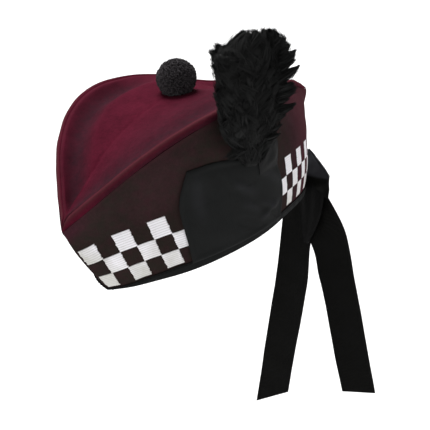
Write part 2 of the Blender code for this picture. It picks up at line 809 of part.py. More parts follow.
def make_bow(material):
    """Two flat loops, one ring of ribbon pinched at its middle."""
    turn = 2 * math.pi * np.arange(BOW_SIDES) / BOW_SIDES
    rows = []
    for angle in turn:
        c = math.cos(angle)
        s = math.sin(angle)
        aside = math.copysign(abs(c) ** BOW_ROUNDING, c)
        pinch = BOW_PINCH + (1 - BOW_PINCH) * min(1, abs(aside) * 2)
        ring = []
        for reach in (0, RIBBON):
            y = aside * (BOW_HALF - reach)
            half = BOW_DEPTH / 2 * pinch - reach
            x = bow_middle() + math.copysign(math.sqrt(abs(s)), s) * half
            top = BOW_TOP - BOW_DROP * abs(aside)
            ring.append(((x, y, top - BOW_HEIGHT), (x, y, top)))
        (low_out, high_out), (low_in, high_in) = ring
        rows.append((low_out, high_out, high_in, low_in))
    rows = np.array(rows)
    faces = []
    for i in range(BOW_SIDES):
        n = (i + 1) % BOW_SIDES
        for j in range(4):
            k = (j + 1) % 4
            faces.append((i * 4 + j, i * 4 + k, n * 4 + k, n * 4 + j))
    solid("rear_bow", rows.reshape(-1, 3), faces, material)


def make_rear(material):
    make_bow(material)
    behind = bow_middle() + BOW_DEPTH / 2 + GAP
    make_tail("tail_left", LEFT_TAIL, LEFT_TAIL_ROWS, LEFT_TAIL_SLANT, behind, material)
    make_tail("tail_right", RIGHT_TAIL, RIGHT_TAIL_ROWS, RIGHT_TAIL_SLANT, behind + RIBBON + GAP, material)


def main():
    clear_scene()
    frame = bpy.data.objects.new("cap_frame", None)
    frame.rotation_euler = (0, -NOSE_DOWN, 0)
    bpy.context.scene.collection.objects.link(frame)
    felt = finish("side_felt")
    crown_felt = finish("crown_felt")
    white = finish("white_embroidery")
    ribbon = finish("ribbon")
    feather = finish("feather")
    wool = finish("wool")
    make_sides(felt, frame)
    make_crown(crown_felt, frame)
    make_binding(ribbon, frame)
    make_dicing("dicing_left", False, white, frame)
    make_dicing("dicing_right", True, white, frame)
    make_cloth("ribbon_patch", patch_point, PATCH_LIFT, (PATCH_ACROSS, PATCH_UP), ribbon, frame)
    make_cloth("ribbon_fold", fold_point, FOLD_LIFT, (FOLD_ACROSS, FOLD_ROWS), ribbon, frame)
    make_toorie(wool, frame)
    make_plume(feather)
    make_rear(ribbon)


main()
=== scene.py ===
"""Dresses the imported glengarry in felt, woven dicing, ribbon, feathers and wool, and lights it.

Units are metres and +Z is up. The cap's front points to -X and the wearer's left side to -Y.
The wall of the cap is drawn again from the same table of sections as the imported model, more finely.
"""
import math

import bmesh
import bpy
import numpy as np
from mathutils import Matrix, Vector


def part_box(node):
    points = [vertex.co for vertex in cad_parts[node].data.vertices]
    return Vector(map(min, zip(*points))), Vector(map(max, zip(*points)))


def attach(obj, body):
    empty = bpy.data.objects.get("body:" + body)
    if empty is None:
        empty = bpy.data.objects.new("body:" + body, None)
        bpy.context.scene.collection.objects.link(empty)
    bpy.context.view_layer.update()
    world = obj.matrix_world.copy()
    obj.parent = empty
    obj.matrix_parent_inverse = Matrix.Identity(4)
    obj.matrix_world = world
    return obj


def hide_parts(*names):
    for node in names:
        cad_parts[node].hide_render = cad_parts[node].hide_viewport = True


bl_info = {
    "name": "Glengarry cap",
    "version": (1, 0, 0),
    "blender": (4, 5, 0),
    "location": "View3D > Sidebar > Glengarry",
    "description": "Felt, dicing, ribbons, plume and toorie of a glengarry cap",
    "category": "Add Mesh",
}

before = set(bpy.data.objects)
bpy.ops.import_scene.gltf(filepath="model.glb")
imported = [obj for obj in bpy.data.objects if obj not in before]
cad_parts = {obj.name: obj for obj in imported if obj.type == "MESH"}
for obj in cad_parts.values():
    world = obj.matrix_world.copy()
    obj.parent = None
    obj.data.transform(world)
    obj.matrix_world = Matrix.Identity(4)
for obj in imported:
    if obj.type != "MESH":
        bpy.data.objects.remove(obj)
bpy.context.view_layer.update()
BODY = "root"
MM = 0.001

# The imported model's sizes
GAP = 0.0003
FELT = 0.0024
RIBBON = 0.0010
DICE_RISE = 0.0008
RIM_LENGTH = 0.2224
RIM_WIDTH = 0.1356
RIM_ARCH = 0.0197
BINDING_WIDTH = 0.0062
BINDING_INSIDE = 0.0062
DICE = 0.0133
DICE_ROWS = 3
BAND_LENGTH = 0.2565
BAND_WIDTH = 0.1373
BAND_FORWARD = 0.0106
BAND_SWELL = 0.0019
BAND_HEIGHT = BINDING_WIDTH + DICE_ROWS * DICE
CROWN_LENGTH = 0.2735
CROWN_WIDTH = 0.1405
CROWN_HEIGHT = 0.1287
CROWN_FORWARD = 0.0117
SIDE_SWELL = 0.0030
ROLL = 0.0050
NOSE_HALF = 0.0035
CREASE_DEPTH = 0.0065
NOSE_DOWN = math.radians(10.4)

# Cross sections from the front seam (0) to the back seam (1), in shares of the sizes above
SECTION_COLUMNS = ("place", "rim_along", "rim_out", "rim_up", "hem",
                   "band_along", "band_out", "band_up", "ridge_out", "ridge_up")
SECTIONS = (
    (0.00, -0.500, 0.000, -0.19, 0.15, -0.500, 0.000, 0.95, 0.000, 0.507),
    (0.04, -0.495, 0.178, -0.02, 0.26, -0.457, 0.109, 0.96, 0.190, 0.597),
    (0.08, -0.473, 0.328, 0.15, 0.46, -0.421, 0.224, 0.97, 0.353, 0.680),
    (0.14, -0.423, 0.508, 0.37, 0.76, -0.374, 0.417, 0.98, 0.563, 0.789),
    (0.20, -0.369, 0.670, 0.55, 0.98, -0.322, 0.595, 0.99, 0.733, 0.874),
    (0.35, -0.210, 0.950, 0.88, 0.98, -0.172, 0.924, 1.00, 0.975, 0.986),
    (0.50, -0.033, 0.976, 1.00, 0.90, 0.001, 0.999, 1.00, 0.967, 0.997),
    (0.65, 0.141, 0.794, 0.93, 0.86, 0.172, 0.842, 1.00, 0.761, 0.940),
    (0.72, 0.222, 0.672, 0.81, 0.86, 0.249, 0.724, 1.00, 0.622, 0.885),
    (0.80, 0.309, 0.517, 0.66, 0.90, 0.330, 0.570, 1.00, 0.443, 0.842),
    (0.92, 0.427, 0.228, 0.31, 1.00, 0.442, 0.265, 1.00, 0.170, 0.780),
    (1.00, 0.500, 0.000, 0.00, 1.00, 0.500, 0.000, 1.00, 0.000, 0.703),
)
# How far from the end seams the swells and the crown's dips fade, and how finely the wall is measured
SEAM_FADE = 0.08
DIP_FADE = 0.15
RUN_SAMPLES = 801
PROBE = 0.001

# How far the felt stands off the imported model's plain shape: at the front seam and the rim's tip, at the top
# of the back, and along the far ridge before and behind the toorie
FRONT_REACH = 0.09
FRONT_FULLER = 0.0015
TIP_HIGHER = 0.0009
BACK_FULLER = 0.0050
FAR_HIGHER = 0.0019
FAR_WIDER = 0.0016
FAR_LOWER = 0.0026
CORNER_LOWER = 0.0015

# The felt sides: steps along them, up the band and above it, and how they end at the top and the end seams
SIDE_STEP = 0.0022
BAND_STEPS = 20
SIDE_STEPS = 34
HEM_BLEND = 0.3
SIDE_TUCK = 0.00005
SIDE_LIP = 0.0008
SEAM_TUCK = 0.0003

# Ribbon patch and the fan beside the plume's foot
PATCH_WIDTH = 0.0900
PATCH_HEIGHT = 0.0740
# It covers the columns of squares from the first of these numbers up to the second.
PATCH_COLUMN = 6
PATCH_COLUMNS_END = 12
PATCH_START = PATCH_COLUMN * DICE + 0.0007
PATCH_FOOT = 0.0050
PATCH_LIFT = GAP + RIBBON + GAP
PATCH_HEM = 0.00055
PATCH_PUFF = 0.0013
PATCH_SETTLES = 0.0012
# The patch's top edge and its two ends, in shares of its height and width
PATCH_TOP_COLUMNS = ("across", "top")
PATCH_TOP = ((0.00, 1.00), (0.30, 0.96), (0.55, 0.88), (0.75, 0.84), (1.00, 0.70))
PATCH_SIDE_COLUMNS = ("up", "front", "rear")
PATCH_SIDES = ((0.00, -0.090, 0.97), (0.25, -0.066, 1.00), (0.50, -0.046, 1.02), (0.75, -0.010, 1.00),
               (1.00, 0.042, 0.96))
FOLD_WIDTH = 0.0270
FOLD_HEIGHT = 0.0270
FOLD_ALONG = 0.0630
FOLD_UP = 0.0450
FOLD_SLOPE = 0.25
FOLD_LIFT = PATCH_LIFT + RIBBON + GAP
FOLD_SWELL = 0.0016
FOLD_PLEATS = 0.0005

# Toorie: its place along the crown, how far it sinks in, and how much shallower the crease is round it
TOORIE_RADIUS = 0.0150
TOORIE_PLACE = 0.486
TOORIE_SINK = 0.0010
TOORIE_SEAT = 0.0038
TOORIE_ROOM = 0.030

# Plume: where its foot is on the patch, how far it leans, and how far its body stands out from its foot. Then
# its body at each height, in mm: its reach to the left and right as seen from the front left, and its depth
PLUME_ALONG = 0.0560
PLUME_UP = 0.0585
PLUME_LEAN = 0.0190
PLUME_NEARER = 0.0014
PLUME_COLUMNS = ("up", "left", "right", "depth")
PLUME_ROWS = (
    (0.0, 4.5, 5.5, 3.5),
    (8.0, 6.5, 9.0, 5.5),
    (14.0, 9.5, 12.0, 7.5),
    (22.0, 16.0, 15.5, 11.0),
    (28.0, 19.2, 17.0, 13.0),
    (36.0, 21.6, 18.2, 14.5),
    (46.0, 22.2, 19.6, 15.5),
    (54.0, 23.2, 21.0, 16.0),
    (60.0, 25.2, 22.0, 16.0),
    (66.0, 23.4, 22.6, 16.0),
    (75.0, 25.6, 24.8, 15.5),
    (82.0, 27.4, 25.2, 14.5),
    (87.0, 26.4, 24.6, 13.5),
    (90.5, 19.0, 24.8, 13.0),
    (92.0, 15.0, 24.0, 12.5),
    (96.0, 12.5, 20.8, 11.0),
    (97.6, 9.0, 17.0, 8.5),
    (98.8, 6.5, 14.0, 6.5),
)

# Rear ribbons: the bow, then each tail's right and left edge at shares of its length, in mm across and up
TAIL_WIDTH = 0.0350
BOW_HALF = 0.0275
BOW_HEIGHT = 0.0190
BOW_DEPTH = 0.0050
BOW_TOP = 0.0560
BOW_DROP = 0.0190
BOW_OVER_TAILS = 0.0042
BOW_CREASE = 0.0345
BOW_TURNS = 120
TAIL_COLUMNS = ("down", "right_y", "right_z", "left_y", "left_z")
LEFT_TAIL = 0.1960
LEFT_TAIL_EDGES = (
    (0.00, 8.0, 33.0, -9.0, 34.0),
    (0.08, 7.5, 22.0, -17.0, 25.5),
    (0.16, 5.0, 5.0, -28.0, 13.0),
    (0.26, -1.8, -16.0, -41.0, -4.0),
    (0.36, -10.5, -31.0, -47.6, -20.0),
    (0.50, -16.0, -49.0, -54.0, -45.0),
    (0.62, -21.4, -66.0, -59.9, -66.0),
    (0.80, -31.9, -103.0, -69.3, -102.0),
    (1.00, -45.2, -149.7, -79.5, -142.6),
)
RIGHT_TAIL = 0.2200
RIGHT_TAIL_EDGES = (
    (0.00, 9.0, 33.0, -9.0, 33.0),
    (0.10, 18.0, 20.0, -10.0, 18.0),
    (0.22, 25.0, -4.0, -9.0, -7.0),
    (0.34, 27.8, -28.0, -4.8, -30.0),
    (0.46, 31.0, -50.0, -3.6, -52.0),
    (0.60, 35.8, -78.0, 0.6, -79.0),
    (0.80, 44.8, -130.0, 10.4, -129.0),
    (1.00, 54.2, -184.5, 17.6, -166.9),
)
# The fold of ribbon that hangs between the tails, with the same columns
TONGUE_LENGTH = 0.0600
TONGUE_EDGES = (
    (0.00, 9.0, 33.0, -24.0, 28.0),
    (0.25, 8.0, 20.0, -22.0, 16.0),
    (0.50, 6.0, 5.0, -19.5, 2.0),
    (0.75, 3.0, -10.0, -14.0, -12.0),
    (1.00, 0.0, -25.0, -6.0, -25.5),
)

# The photograph's camera: where it stands, its right, up and back, and its picture
CAMERA_PLACE = (-0.8386, -0.8019, 0.3012)
CAMERA_RIGHT = (0.6937, -0.7203, 0.0)
CAMERA_UP = (0.1822, 0.1755, 0.9675)
CAMERA_BACK = (-0.6968, -0.6711, 0.2530)
SENSOR_MM = 36.0
LENS_MM = 125.84
PICTURE_SHIFT = (0.0170, 0.0567)


def size(name, text, default):
    return bpy.props.FloatProperty(
        name=name, description=text, default=default, min=0, unit="LENGTH", precision=5)


def share(name, text, default):
    return bpy.props.FloatProperty(
        name=name, description=text, default=default, min=0, max=1, subtype="FACTOR")


def colour(name, text, default):
    return bpy.props.FloatVectorProperty(
        name=name, description=text, default=default, size=3, min=0, max=1, subtype="COLOR")


def count(name, text, default):
    return bpy.props.IntProperty(name=name, description=text, default=default, min=1)


class FeltSettings(bpy.types.PropertyGroup):
    # Crown and sides are one felt: the sides' darker, browner colour is painted shade.
    side: colour("Side colour", "Colour of the felt sides", (0.0405, 0.0120, 0.0185))
    # Painted shade colour of the sides, laid over their middle, away from the nose and the back.
    painted_shade: colour("Shade colour", "Colour where the nap of the sides lies flat", (0.0190, 0.0147, 0.0126))
    # Painted shade colour of the crown: in its grooves, under its rolled ridges and beside them.
    hollow_shade: colour("Hollow", "Duller colour in the crown's hollows", (0.0160, 0.0098, 0.0132))
    # The crown's lighter, redder colour is the same felt with painted light.
    crown: colour("Crown colour", "Colour of the felt crown", (0.0640, 0.0058, 0.0150))
    # Painted highlight colour: along the crown's ridges and the sides' top edge, and over the back panel.
    edge: colour("Ridge colour", "Colour where the crown's ridges have rubbed", (0.0760, 0.0205, 0.0260))
    mottling: share("Mottling", "How far the felt's colour varies", 0.55)
    fibre: size("Fibre size", "Size of the felt's finest unevenness", 0.0009)
    unevenness: size("Unevenness", "How far the felt's face rises and falls", 0.00030)
    sheen: share("Sheen", "How much the raised fibres catch light", 0.004)


class DicingSettings(bpy.types.PropertyGroup):
    white: colour("White", "Colour of the white squares", (0.930, 0.910, 0.955))
    # The white yellows to this colour towards the rim. It is also the painted shade colour towards the front
    # seam and, halved, between the rows of yarn.
    cream_and_shade: colour("Cream", "Colour that the white yellows to", (0.530, 0.525, 0.475))
    courses: count("Rows of yarn", "Rows of yarn in one square", 8)
    relief: size("Yarn relief", "How far each row of yarn stands up", 0.00018)
    ragged: size("Ragged edge", "How unevenly the rows end", 0.00042)
    seed: count("Seed", "Draw of the uneven ends", 3)


class RibbonSettings(bpy.types.PropertyGroup):
    black: colour("Black", "Colour of the tails, bow and binding", (0.0016, 0.0016, 0.0013))
    grey: colour("Patch", "Colour of the patch", (0.0118, 0.0124, 0.0124))
    # The fan is the patch's ribbon painted paler: painted light.
    pale: colour("Fan", "Colour of the ribbon folded beside the plume", (0.0140, 0.0140, 0.0143))
    # Painted light colour of lit ribbon: the bow above its crease, the tongue and the patch's wrinkles.
    painted_light: colour("Highlight", "Colour where the bow's ribbon has faded", (0.0270, 0.0270, 0.0310))
    rib: size("Rib pitch", "Distance between the ribbon's ribs", 0.0011)
    rib_relief: size("Rib relief", "How far a rib stands up", 0.00007)
    thickness: size("Thickness", "Thickness of the loose ribbon", 0.0007)
    stitch: size("Stitch", "Length of a machine stitch", 0.0026)


class PlumeSettings(bpy.types.PropertyGroup):
    black: colour("Colour", "Colour of the feathers", (0.0138, 0.0140, 0.0139))
    barbs: count("Barbs", "Barbs in one lock of feather", 44)
    barb: size("Barb width", "Width of one barb", 0.00055)
    seed: count("Seed", "Draw of the barbs", 11)


class ToorieSettings(bpy.types.PropertyGroup):
    black: colour("Colour", "Colour of the wool", (0.0420, 0.0385, 0.0410))
    tufts: count("Yarn ends", "Cut ends of yarn in the pompom", 2600)
    yarn: size("Yarn", "Thickness of the yarn", 0.00115)
    seed: count("Seed", "Draw of the yarn ends", 5)


class StageSettings(bpy.types.PropertyGroup):
    floor: colour("Floor", "Colour of the floor", (0.70, 0.70, 0.70))
    floor_level: bpy.props.FloatProperty(
        name="Floor level", description="Height of the floor", default=-1.0, unit="LENGTH")
    sky: bpy.props.FloatProperty(
        name="Surround", description="Brightness of the surround overhead", default=0.30, min=0)
    key: bpy.props.FloatProperty(
        name="Main light", description="Strength of the broad soft light", default=6.0, min=0)
    key_way: bpy.props.FloatVectorProperty(
        name="Main light from", description="Direction that the main light comes from",
        default=(0.12, 0.38, 0.86), size=3, subtype="DIRECTION")
    softness: bpy.props.FloatProperty(
        name="Softness", description="How broad the main light is",
        default=math.radians(36), min=0, subtype="ANGLE")


def table_column(rows, columns, name):
    return np.array([row[columns.index(name)] for row in rows])


def smooth(places, values, at):
    """Natural cubic through the rows of a table."""
    number = len(places)
    step = np.diff(places)
    matrix = np.eye(number)
    right = np.zeros(number)
    for i in range(1, number - 1):
        matrix[i, i - 1:i + 2] = step[i - 1], 2 * (step[i - 1] + step[i]), step[i]
        right[i] = 6 * ((values[i + 1] - values[i]) / step[i] - (values[i] - values[i - 1]) / step[i - 1])
    bend = np.linalg.solve(matrix, right)
    at = np.clip(np.asarray(at, float), places[0], places[-1])
    k = np.clip(np.searchsorted(places, at, side="right") - 1, 0, number - 2)
    before = at - places[k]
    after = places[k + 1] - at
    curve = (bend[k] * after ** 3 + bend[k + 1] * before ** 3) / (6 * step[k])
    chord = (values[k] / step[k] - bend[k] * step[k] / 6) * after
    return curve + chord + (values[k + 1] / step[k] - bend[k + 1] * step[k] / 6) * before


def read(rows, columns, name, at):
    return smooth(table_column(rows, columns, columns[0]), table_column(rows, columns, name), at)


def section(name, place):
    return read(SECTIONS, SECTION_COLUMNS, name, place)


def unit(vectors):
    return vectors / np.maximum(np.linalg.norm(vectors, axis=-1, keepdims=True), 1e-12)


def ease(t):
    t = np.clip(t, 0, 1)
    return t * t * (3 - 2 * t)


def rising(value, start, length):
    """0 up to the start, softly up to 1 this length after it."""
    return ease((value - start) / length)


def falling(value, end, length):
    """1 until this length before the end, softly down to 0 at it."""
    return ease((end - value) / length)


def hump(value, middle, reach):
    """1 at the middle and little further off than the reach."""
    return np.exp(-((value - middle) / reach) ** 2)


def close_ends(near, first, number):
    """Shares from 0 to 1: these near both ends, and even steps between the first and its opposite."""
    near = np.array(near)
    return np.concatenate([near, np.linspace(first, 1 - first, number), (1 - near)[::-1]])


def ripple(points, feature, seed, waves=9):
    """Smooth unevenness of about this size, roughly from -1 to 1."""
    chance = np.random.default_rng(seed)
    total = np.zeros(points.shape[:-1])
    for _ in range(waves):
        way = unit(chance.normal(size=points.shape[-1]))
        turns = 2 * math.pi / feature * chance.uniform(0.6, 1.5)
        total += np.sin(points @ way * turns + chance.uniform(0, 2 * math.pi))
    return total / math.sqrt(waves)


def rim_ring(place):
    along = section("rim_along", place) * RIM_LENGTH
    out = section("rim_out", place) * RIM_WIDTH / 2
    return np.stack([along, -out, section("rim_up", place) * RIM_ARCH], -1)


def band_ring(place):
    along = section("band_along", place) * BAND_LENGTH - BAND_FORWARD
    out = section("band_out", place) * BAND_WIDTH / 2
    up = section("rim_up", place) * RIM_ARCH + section("band_up", place) * BAND_HEIGHT
    return np.stack([along, -out, up], -1)


def ridge_ring(place):
    along = (np.asarray(place, float) - 0.5) * CROWN_LENGTH - CROWN_FORWARD
    out = section("ridge_out", place) * CROWN_WIDTH / 2
    return np.stack([along, -out, section("ridge_up", place) * CROWN_HEIGHT], -1)


def outline_normal(place):
    ahead = band_ring(np.clip(place + PROBE, 0, 1))
    run = ahead - band_ring(np.clip(place - PROBE, 0, 1))
    return unit(np.stack([run[..., 1], -run[..., 0], 0 * run[..., 0]], -1))


def fuller_front(place, level):
    """How far the front seam swells at the band, and the rim's tip stands higher."""
    front = falling(place, FRONT_REACH, FRONT_REACH)
    fuller = -FRONT_FULLER * front * hump(level, 0.62, 0.42)
    return np.stack([fuller, 0 * fuller, TIP_HIGHER * front * falling(level, 0.30, 0.30)], -1)


def wall(place, level):
    """Outer face of the left half: level 0 to 1 is the band, 1 to 2 the side up to the crown's seam."""
    place, level = np.broadcast_arrays(np.asarray(place, float), np.asarray(level, float))
    rim = rim_ring(place)
    band = band_ring(place)
    seam = ridge_ring(place) - np.array([0, 0, ROLL + GAP])
    out = outline_normal(place)
    fade = np.minimum(1, np.minimum(place, 1 - place) / SEAM_FADE)
    swell = BAND_SWELL * np.sin(math.pi * np.clip(level, 0, 1)) * fade
    lower = rim + (band - rim) * level[..., None] + out * swell[..., None]
    height = np.linalg.norm(seam - band, axis=-1)[..., None]
    pull = band + unit(band - rim) * height / 3
    lean = seam - (seam - band) / 3 + out * (SIDE_SWELL * fade)[..., None]
    t = np.clip(level - 1, 0, 1)[..., None]
    upper = band * (1 - t) ** 3 + pull * 3 * t * (1 - t) ** 2 + lean * 3 * t * t * (1 - t) + seam * t ** 3
    return np.where(level[..., None] <= 1, lower, upper) + fuller_front(place, level)


def wall_normal(place, level):
    along = wall(np.clip(place + PROBE, 0, 1), level) - wall(np.clip(place - PROBE, 0, 1), level)
    low = np.where(level > 1, np.clip(level - PROBE, 1, 2), level - PROBE)
    high = np.where(level > 1, np.clip(level + PROBE, 1, 2), level + PROBE)
    return unit(np.cross(along, wall(place, high) - wall(place, low)))


def band_lengths():
    """How far along the band's middle each place is, without the front seam's extra swell."""
    places = np.linspace(0, 1, RUN_SAMPLES)
    middle = wall(places, 0.5) - fuller_front(places, np.full(places.shape, 0.5))
    steps = np.linalg.norm(np.diff(middle, axis=0), axis=1)
    return places, np.concatenate([[0], np.cumsum(steps)])


BAND_PLACES, BAND_RUN = band_lengths()
HALF_RUN = BAND_RUN[-1]
DICE_COLUMNS = int(HALF_RUN // DICE)


def place_of(run):
    return np.interp(run, BAND_RUN, BAND_PLACES)


def level_of(place, height):
    side = np.linalg.norm(ridge_ring(place) - band_ring(place), axis=-1)
    return np.where(height <= BAND_HEIGHT, height / BAND_HEIGHT, 1 + (height - BAND_HEIGHT) / side)


def felt_relief(run, level):
    """How far the felt stands off its plain wall: a gentle unevenness, and a tuck at the two end seams."""
    feltwork = bpy.context.scene.glengarry_felt.unevenness
    spot = np.stack([run, level * BAND_HEIGHT], -1)
    uneven = feltwork * (ripple(spot, 0.055, 1) + 0.5 * ripple(spot, 0.023, 2)) * rising(level, 0.9, 0.6)
    to_seam = np.minimum(run, HALF_RUN - run)
    return uneven - SEAM_TUCK * hump(to_seam, 0, 1.2 * MM)


def on_wall(run, height, lift):
    """Point on the left wall at this run along the band and height above the rim, lifted clear of it."""
    run, height, lift = np.broadcast_arrays(*(np.asarray(a, float) for a in (run, height, lift)))
    place = place_of(run)
    level = level_of(place, height)
    return wall(place, level) + wall_normal(place, level) * (lift + felt_relief(run, level))[..., None]


def keep_left(points, margin=0.05 * MM, softness=0.2 * MM):
    """The left half turns in softly where it meets the middle plane."""
    points = points.copy()
    y = points[..., 1]
    points[..., 1] = (y - np.sqrt(y * y + softness * softness)) / 2 - margin
    return points


def mirrored(points):
    return points * np.array([1, -1, 1])


def tilt(points):
    """From the cap's own frame to the level world."""
    c = math.cos(NOSE_DOWN)
    s = math.sin(NOSE_DOWN)
    return np.asarray(points) @ np.array([[c, 0, -s], [0, 1, 0], [s, 0, c]]).T


def grid_quads(rows, cols, start=0):
    i, j = np.meshgrid(np.arange(rows - 1), np.arange(cols - 1), indexing="ij")
    a = (start + i * cols + j).ravel()
    return np.stack([a, a + cols, a + cols + 1, a + 1], -1)


def tube_quads(rows, cols, closed=False):
    """Faces round a tube with this many sections and points in each. Closed, its last joins its first."""
    i, j = np.meshgrid(np.arange(rows if closed else rows - 1), np.arange(cols), indexing="ij")
    n = (i + 1) % rows
    k = (j + 1) % cols
    return np.stack([i * cols + j, i * cols + k, n * cols + k, n * cols + j], -1).reshape(-1, 4)


def fan(first, number, tip):
    """Triangles between a ring of points, from the first one on, and a tip."""
    k = np.arange(number)
    return np.stack([first + k, first + (k + 1) % number, np.full(number, tip)], -1)


def rim_loop(rows, cols):
    """Indices round the border of a grid."""
    return np.concatenate([np.arange(rows) * cols, (rows - 1) * cols + np.arange(1, cols),
                           np.arange(rows - 2, -1, -1) * cols + cols - 1, np.arange(cols - 2, 0, -1)])


def grid_normals(grid):
    return unit(np.cross(np.gradient(grid, axis=0), np.gradient(grid, axis=1)))


class Pile:
    """Points, faces and notes of many shapes, gathered into one mesh."""

    def __init__(self):
        self.points = []
        self.quads = []
        self.triangles = []
        self.notes = {}
        self.total = 0

    def add(self, points, quads=(), triangles=(), **notes):
        """The faces count from this shape's first point. A note is one value or vector for each point."""
        points = np.asarray(points, float).reshape(-1, 3)
        self.points.append(points)
        for kept, faces, corners in ((self.quads, quads, 4), (self.triangles, triangles, 3)):
            if len(faces):
                kept.append(np.asarray(faces).reshape(-1, corners) + self.total)
        for name, values in notes.items():
            self.notes.setdefault(name, []).append(np.asarray(values, float))
        self.total += len(points)

    def add_copies(self, shapes, quads, triangles, **notes):
        """shapes holds one row of points for each copy, and a note has one value for each copy."""
        number, corners = shapes.shape[:2]
        starts = np.arange(number)[:, None, None] * corners
        spread = {name: np.repeat(values, corners, axis=0) for name, values in notes.items()}
        quads = (starts + quads[None]).reshape(-1, 4)
        triangles = (starts + triangles[None]).reshape(-1, 3)
        self.add(shapes, quads, triangles, **spread)

    def shell(self, outer, inner, **notes):
        """A closed wall between two grids of the same size. Notes are grids of values, the same for both."""
        rows, cols = outer.shape[:2]
        number = rows * cols
        loop = rim_loop(rows, cols)
        following = np.roll(loop, -1)
        quads = [grid_quads(rows, cols), grid_quads(rows, cols, number)[:, ::-1],
                 np.stack([following, loop, number + loop, number + following], -1)]
        doubled = {}
        for name, values in notes.items():
            values = np.asarray(values, float).reshape(number, -1)
            doubled[name] = np.concatenate([values, values]).squeeze()
        points = np.concatenate([outer.reshape(-1, 3), inner.reshape(-1, 3)])
        self.add(points, np.concatenate(quads), **doubled)

    def ring(self, rows, **notes):
        """A closed tube whose last section joins its first."""
        number, cols = rows.shape[:2]
        flat = {}
        for name, values in notes.items():
            flat[name] = np.asarray(values, float).reshape(number * cols, -1).squeeze()
        self.add(rows, tube_quads(number, cols, closed=True), **flat)

    def piece(self, name, material, slot, replaces=(), sharp=60):
        """One object that rides on the cap."""
        mesh = bpy.data.meshes.new(name)
        points = np.concatenate(self.points)
        quads = np.concatenate(self.quads) if self.quads else np.empty((0, 4), int)
        triangles = np.concatenate(self.triangles) if self.triangles else np.empty((0, 3), int)
        corners = np.concatenate([quads.ravel(), triangles.ravel()])
        starts = np.concatenate([np.arange(len(quads)) * 4, len(quads) * 4 + np.arange(len(triangles)) * 3])
        mesh.vertices.add(len(points))
        mesh.vertices.foreach_set("co", points.astype(np.float32).ravel())
        mesh.loops.add(len(corners))
        mesh.loops.foreach_set("vertex_index", corners.astype(np.int32))
        mesh.polygons.add(len(starts))
        mesh.polygons.foreach_set("loop_start", starts.astype(np.int32))
        mesh.update(calc_edges=True)
        for title, values in self.notes.items():
            values = np.concatenate(values)
            vector = values.ndim == 2
            note = mesh.attributes.new(title, "FLOAT_VECTOR" if vector else "FLOAT", "POINT")
            note.data.foreach_set("vector" if vector else "value", values.astype(np.float32).ravel())
        build = bmesh.new()
        build.from_mesh(mesh)
        bmesh.ops.recalc_face_normals(build, faces=build.faces)
        build.to_mesh(mesh)
        build.free()
        mesh.materials.append(material)
        mesh.shade_smooth()
        mesh.set_sharp_from_angle(angle=math.radians(sharp))
        item = bpy.data.objects.new(name, mesh)
        bpy.context.scene.collection.objects.link(item)
        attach(item, BODY)
        if replaces:
            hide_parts(*replaces)
        return item


class Socket:
    """A shader socket that takes part in sums: each operator adds its Math node."""

    def __init__(self, finish, output):
        self.finish = finish
        self.output = output

    def math(self, operation, *values):
        sockets = dict(enumerate(values))
        return self.finish.add("ShaderNodeMath", {"operation": operation}, sockets)

    def __add__(self, other):
        return self.math("ADD", self, other)

    __radd__ = __add__

    def __mul__(self, other):
        return self.math("MULTIPLY", self, other)

    __rmul__ = __mul__

    def __sub__(self, other):
        return self.math("SUBTRACT", self, other)

    def __rsub__(self, other):
        return self.math("SUBTRACT", other, self)

    def __pow__(self, other):
        return self.math("POWER", self, other)

    def wave(self):
        return self.math("SINE", self)

    def within(self):
        """Held between 0 and 1."""
        return self.finish.add("ShaderNodeClamp", {}, {"Value": self, "Min": 0.0, "Max": 1.0})


class Nodes:
    """A node tree, with the one way to add a node to it."""

    def __init__(self, tree):
        self.tree = tree

    def add(self, kind, settings, sockets, output=0):
        """One node: its settings go in first, then the values or links of its sockets."""
        node = self.tree.nodes.new(kind)
        for name, value in settings.items():
            setattr(node, name, value)
        for name, value in sockets.items():
            self.feed(node.inputs[name], value)
        return Socket(self, node.outputs[output])

    def feed(self, into, value):
        if isinstance(value, Socket):
            self.tree.links.new(value.output, into)
        elif into.type == "RGBA" and len(value) == 3:
            into.default_value = (*value, 1)
        else:
            into.default_value = value


class Finish(Nodes):
    """A material that is built from one Principled shader and whatever feeds it."""

    def __init__(self, name):
        self.material = bpy.data.materials.new(name)
        self.material.use_nodes = True
        super().__init__(self.material.node_tree)
        self.shader = self.tree.nodes["Principled BSDF"]

    def set(self, **values):
        """Sockets of the shader, named with underscores for spaces."""
        for name, value in values.items():
            self.feed(self.shader.inputs[name.replace("_", " ")], value)

    def noise(self, feature, detail=3.0, rough=0.6, stretch=(1, 1, 1)):
        """Uneven values from 0 to 1 over the surface, with features of about this size in metres."""
        where = self.add("ShaderNodeTexCoord", {}, {}, "Object")
        spot = self.add("ShaderNodeVectorMath", {"operation": "MULTIPLY"}, {0: where, 1: stretch})
        return self.add("ShaderNodeTexNoise", {}, {
            "Vector": spot, "Scale": 1 / feature, "Detail": detail, "Roughness": rough})

    def blend(self, factor, first, second):
        """From the first colour to the second as the factor goes from 0 to 1."""
        return self.add("ShaderNodeMix", {"data_type": "RGBA"}, {0: factor, 6: first, 7: second}, 2)

    def note(self, name, output="Fac"):
        """A value kept on the mesh."""
        return self.add("ShaderNodeAttribute", {"attribute_name": name}, {}, output)

    def part(self, vector, axis):
        """One of a vector's three numbers."""
        return self.add("ShaderNodeSeparateXYZ", {}, {0: vector}, axis)

    def bump(self, height, depth, strength=1.0):
        self.set(Normal=self.add("ShaderNodeBump", {}, {
            "Strength": strength, "Distance": depth, "Height": height}, "Normal"))


# Fine pitches: a strand's twist and the ribbon's weft. Then how far the white has yellowed, up from the rim,
# and how far painted shade reaches along from the front seam
TWIST_PITCH = 0.00075
WEFT_PITCH = 0.00042
YELLOW_UP = 0.034
FRONT_SHADE_ALONG = 0.020


def scaled(shade, by):
    return tuple(min(1.0, value * by) for value in shade)


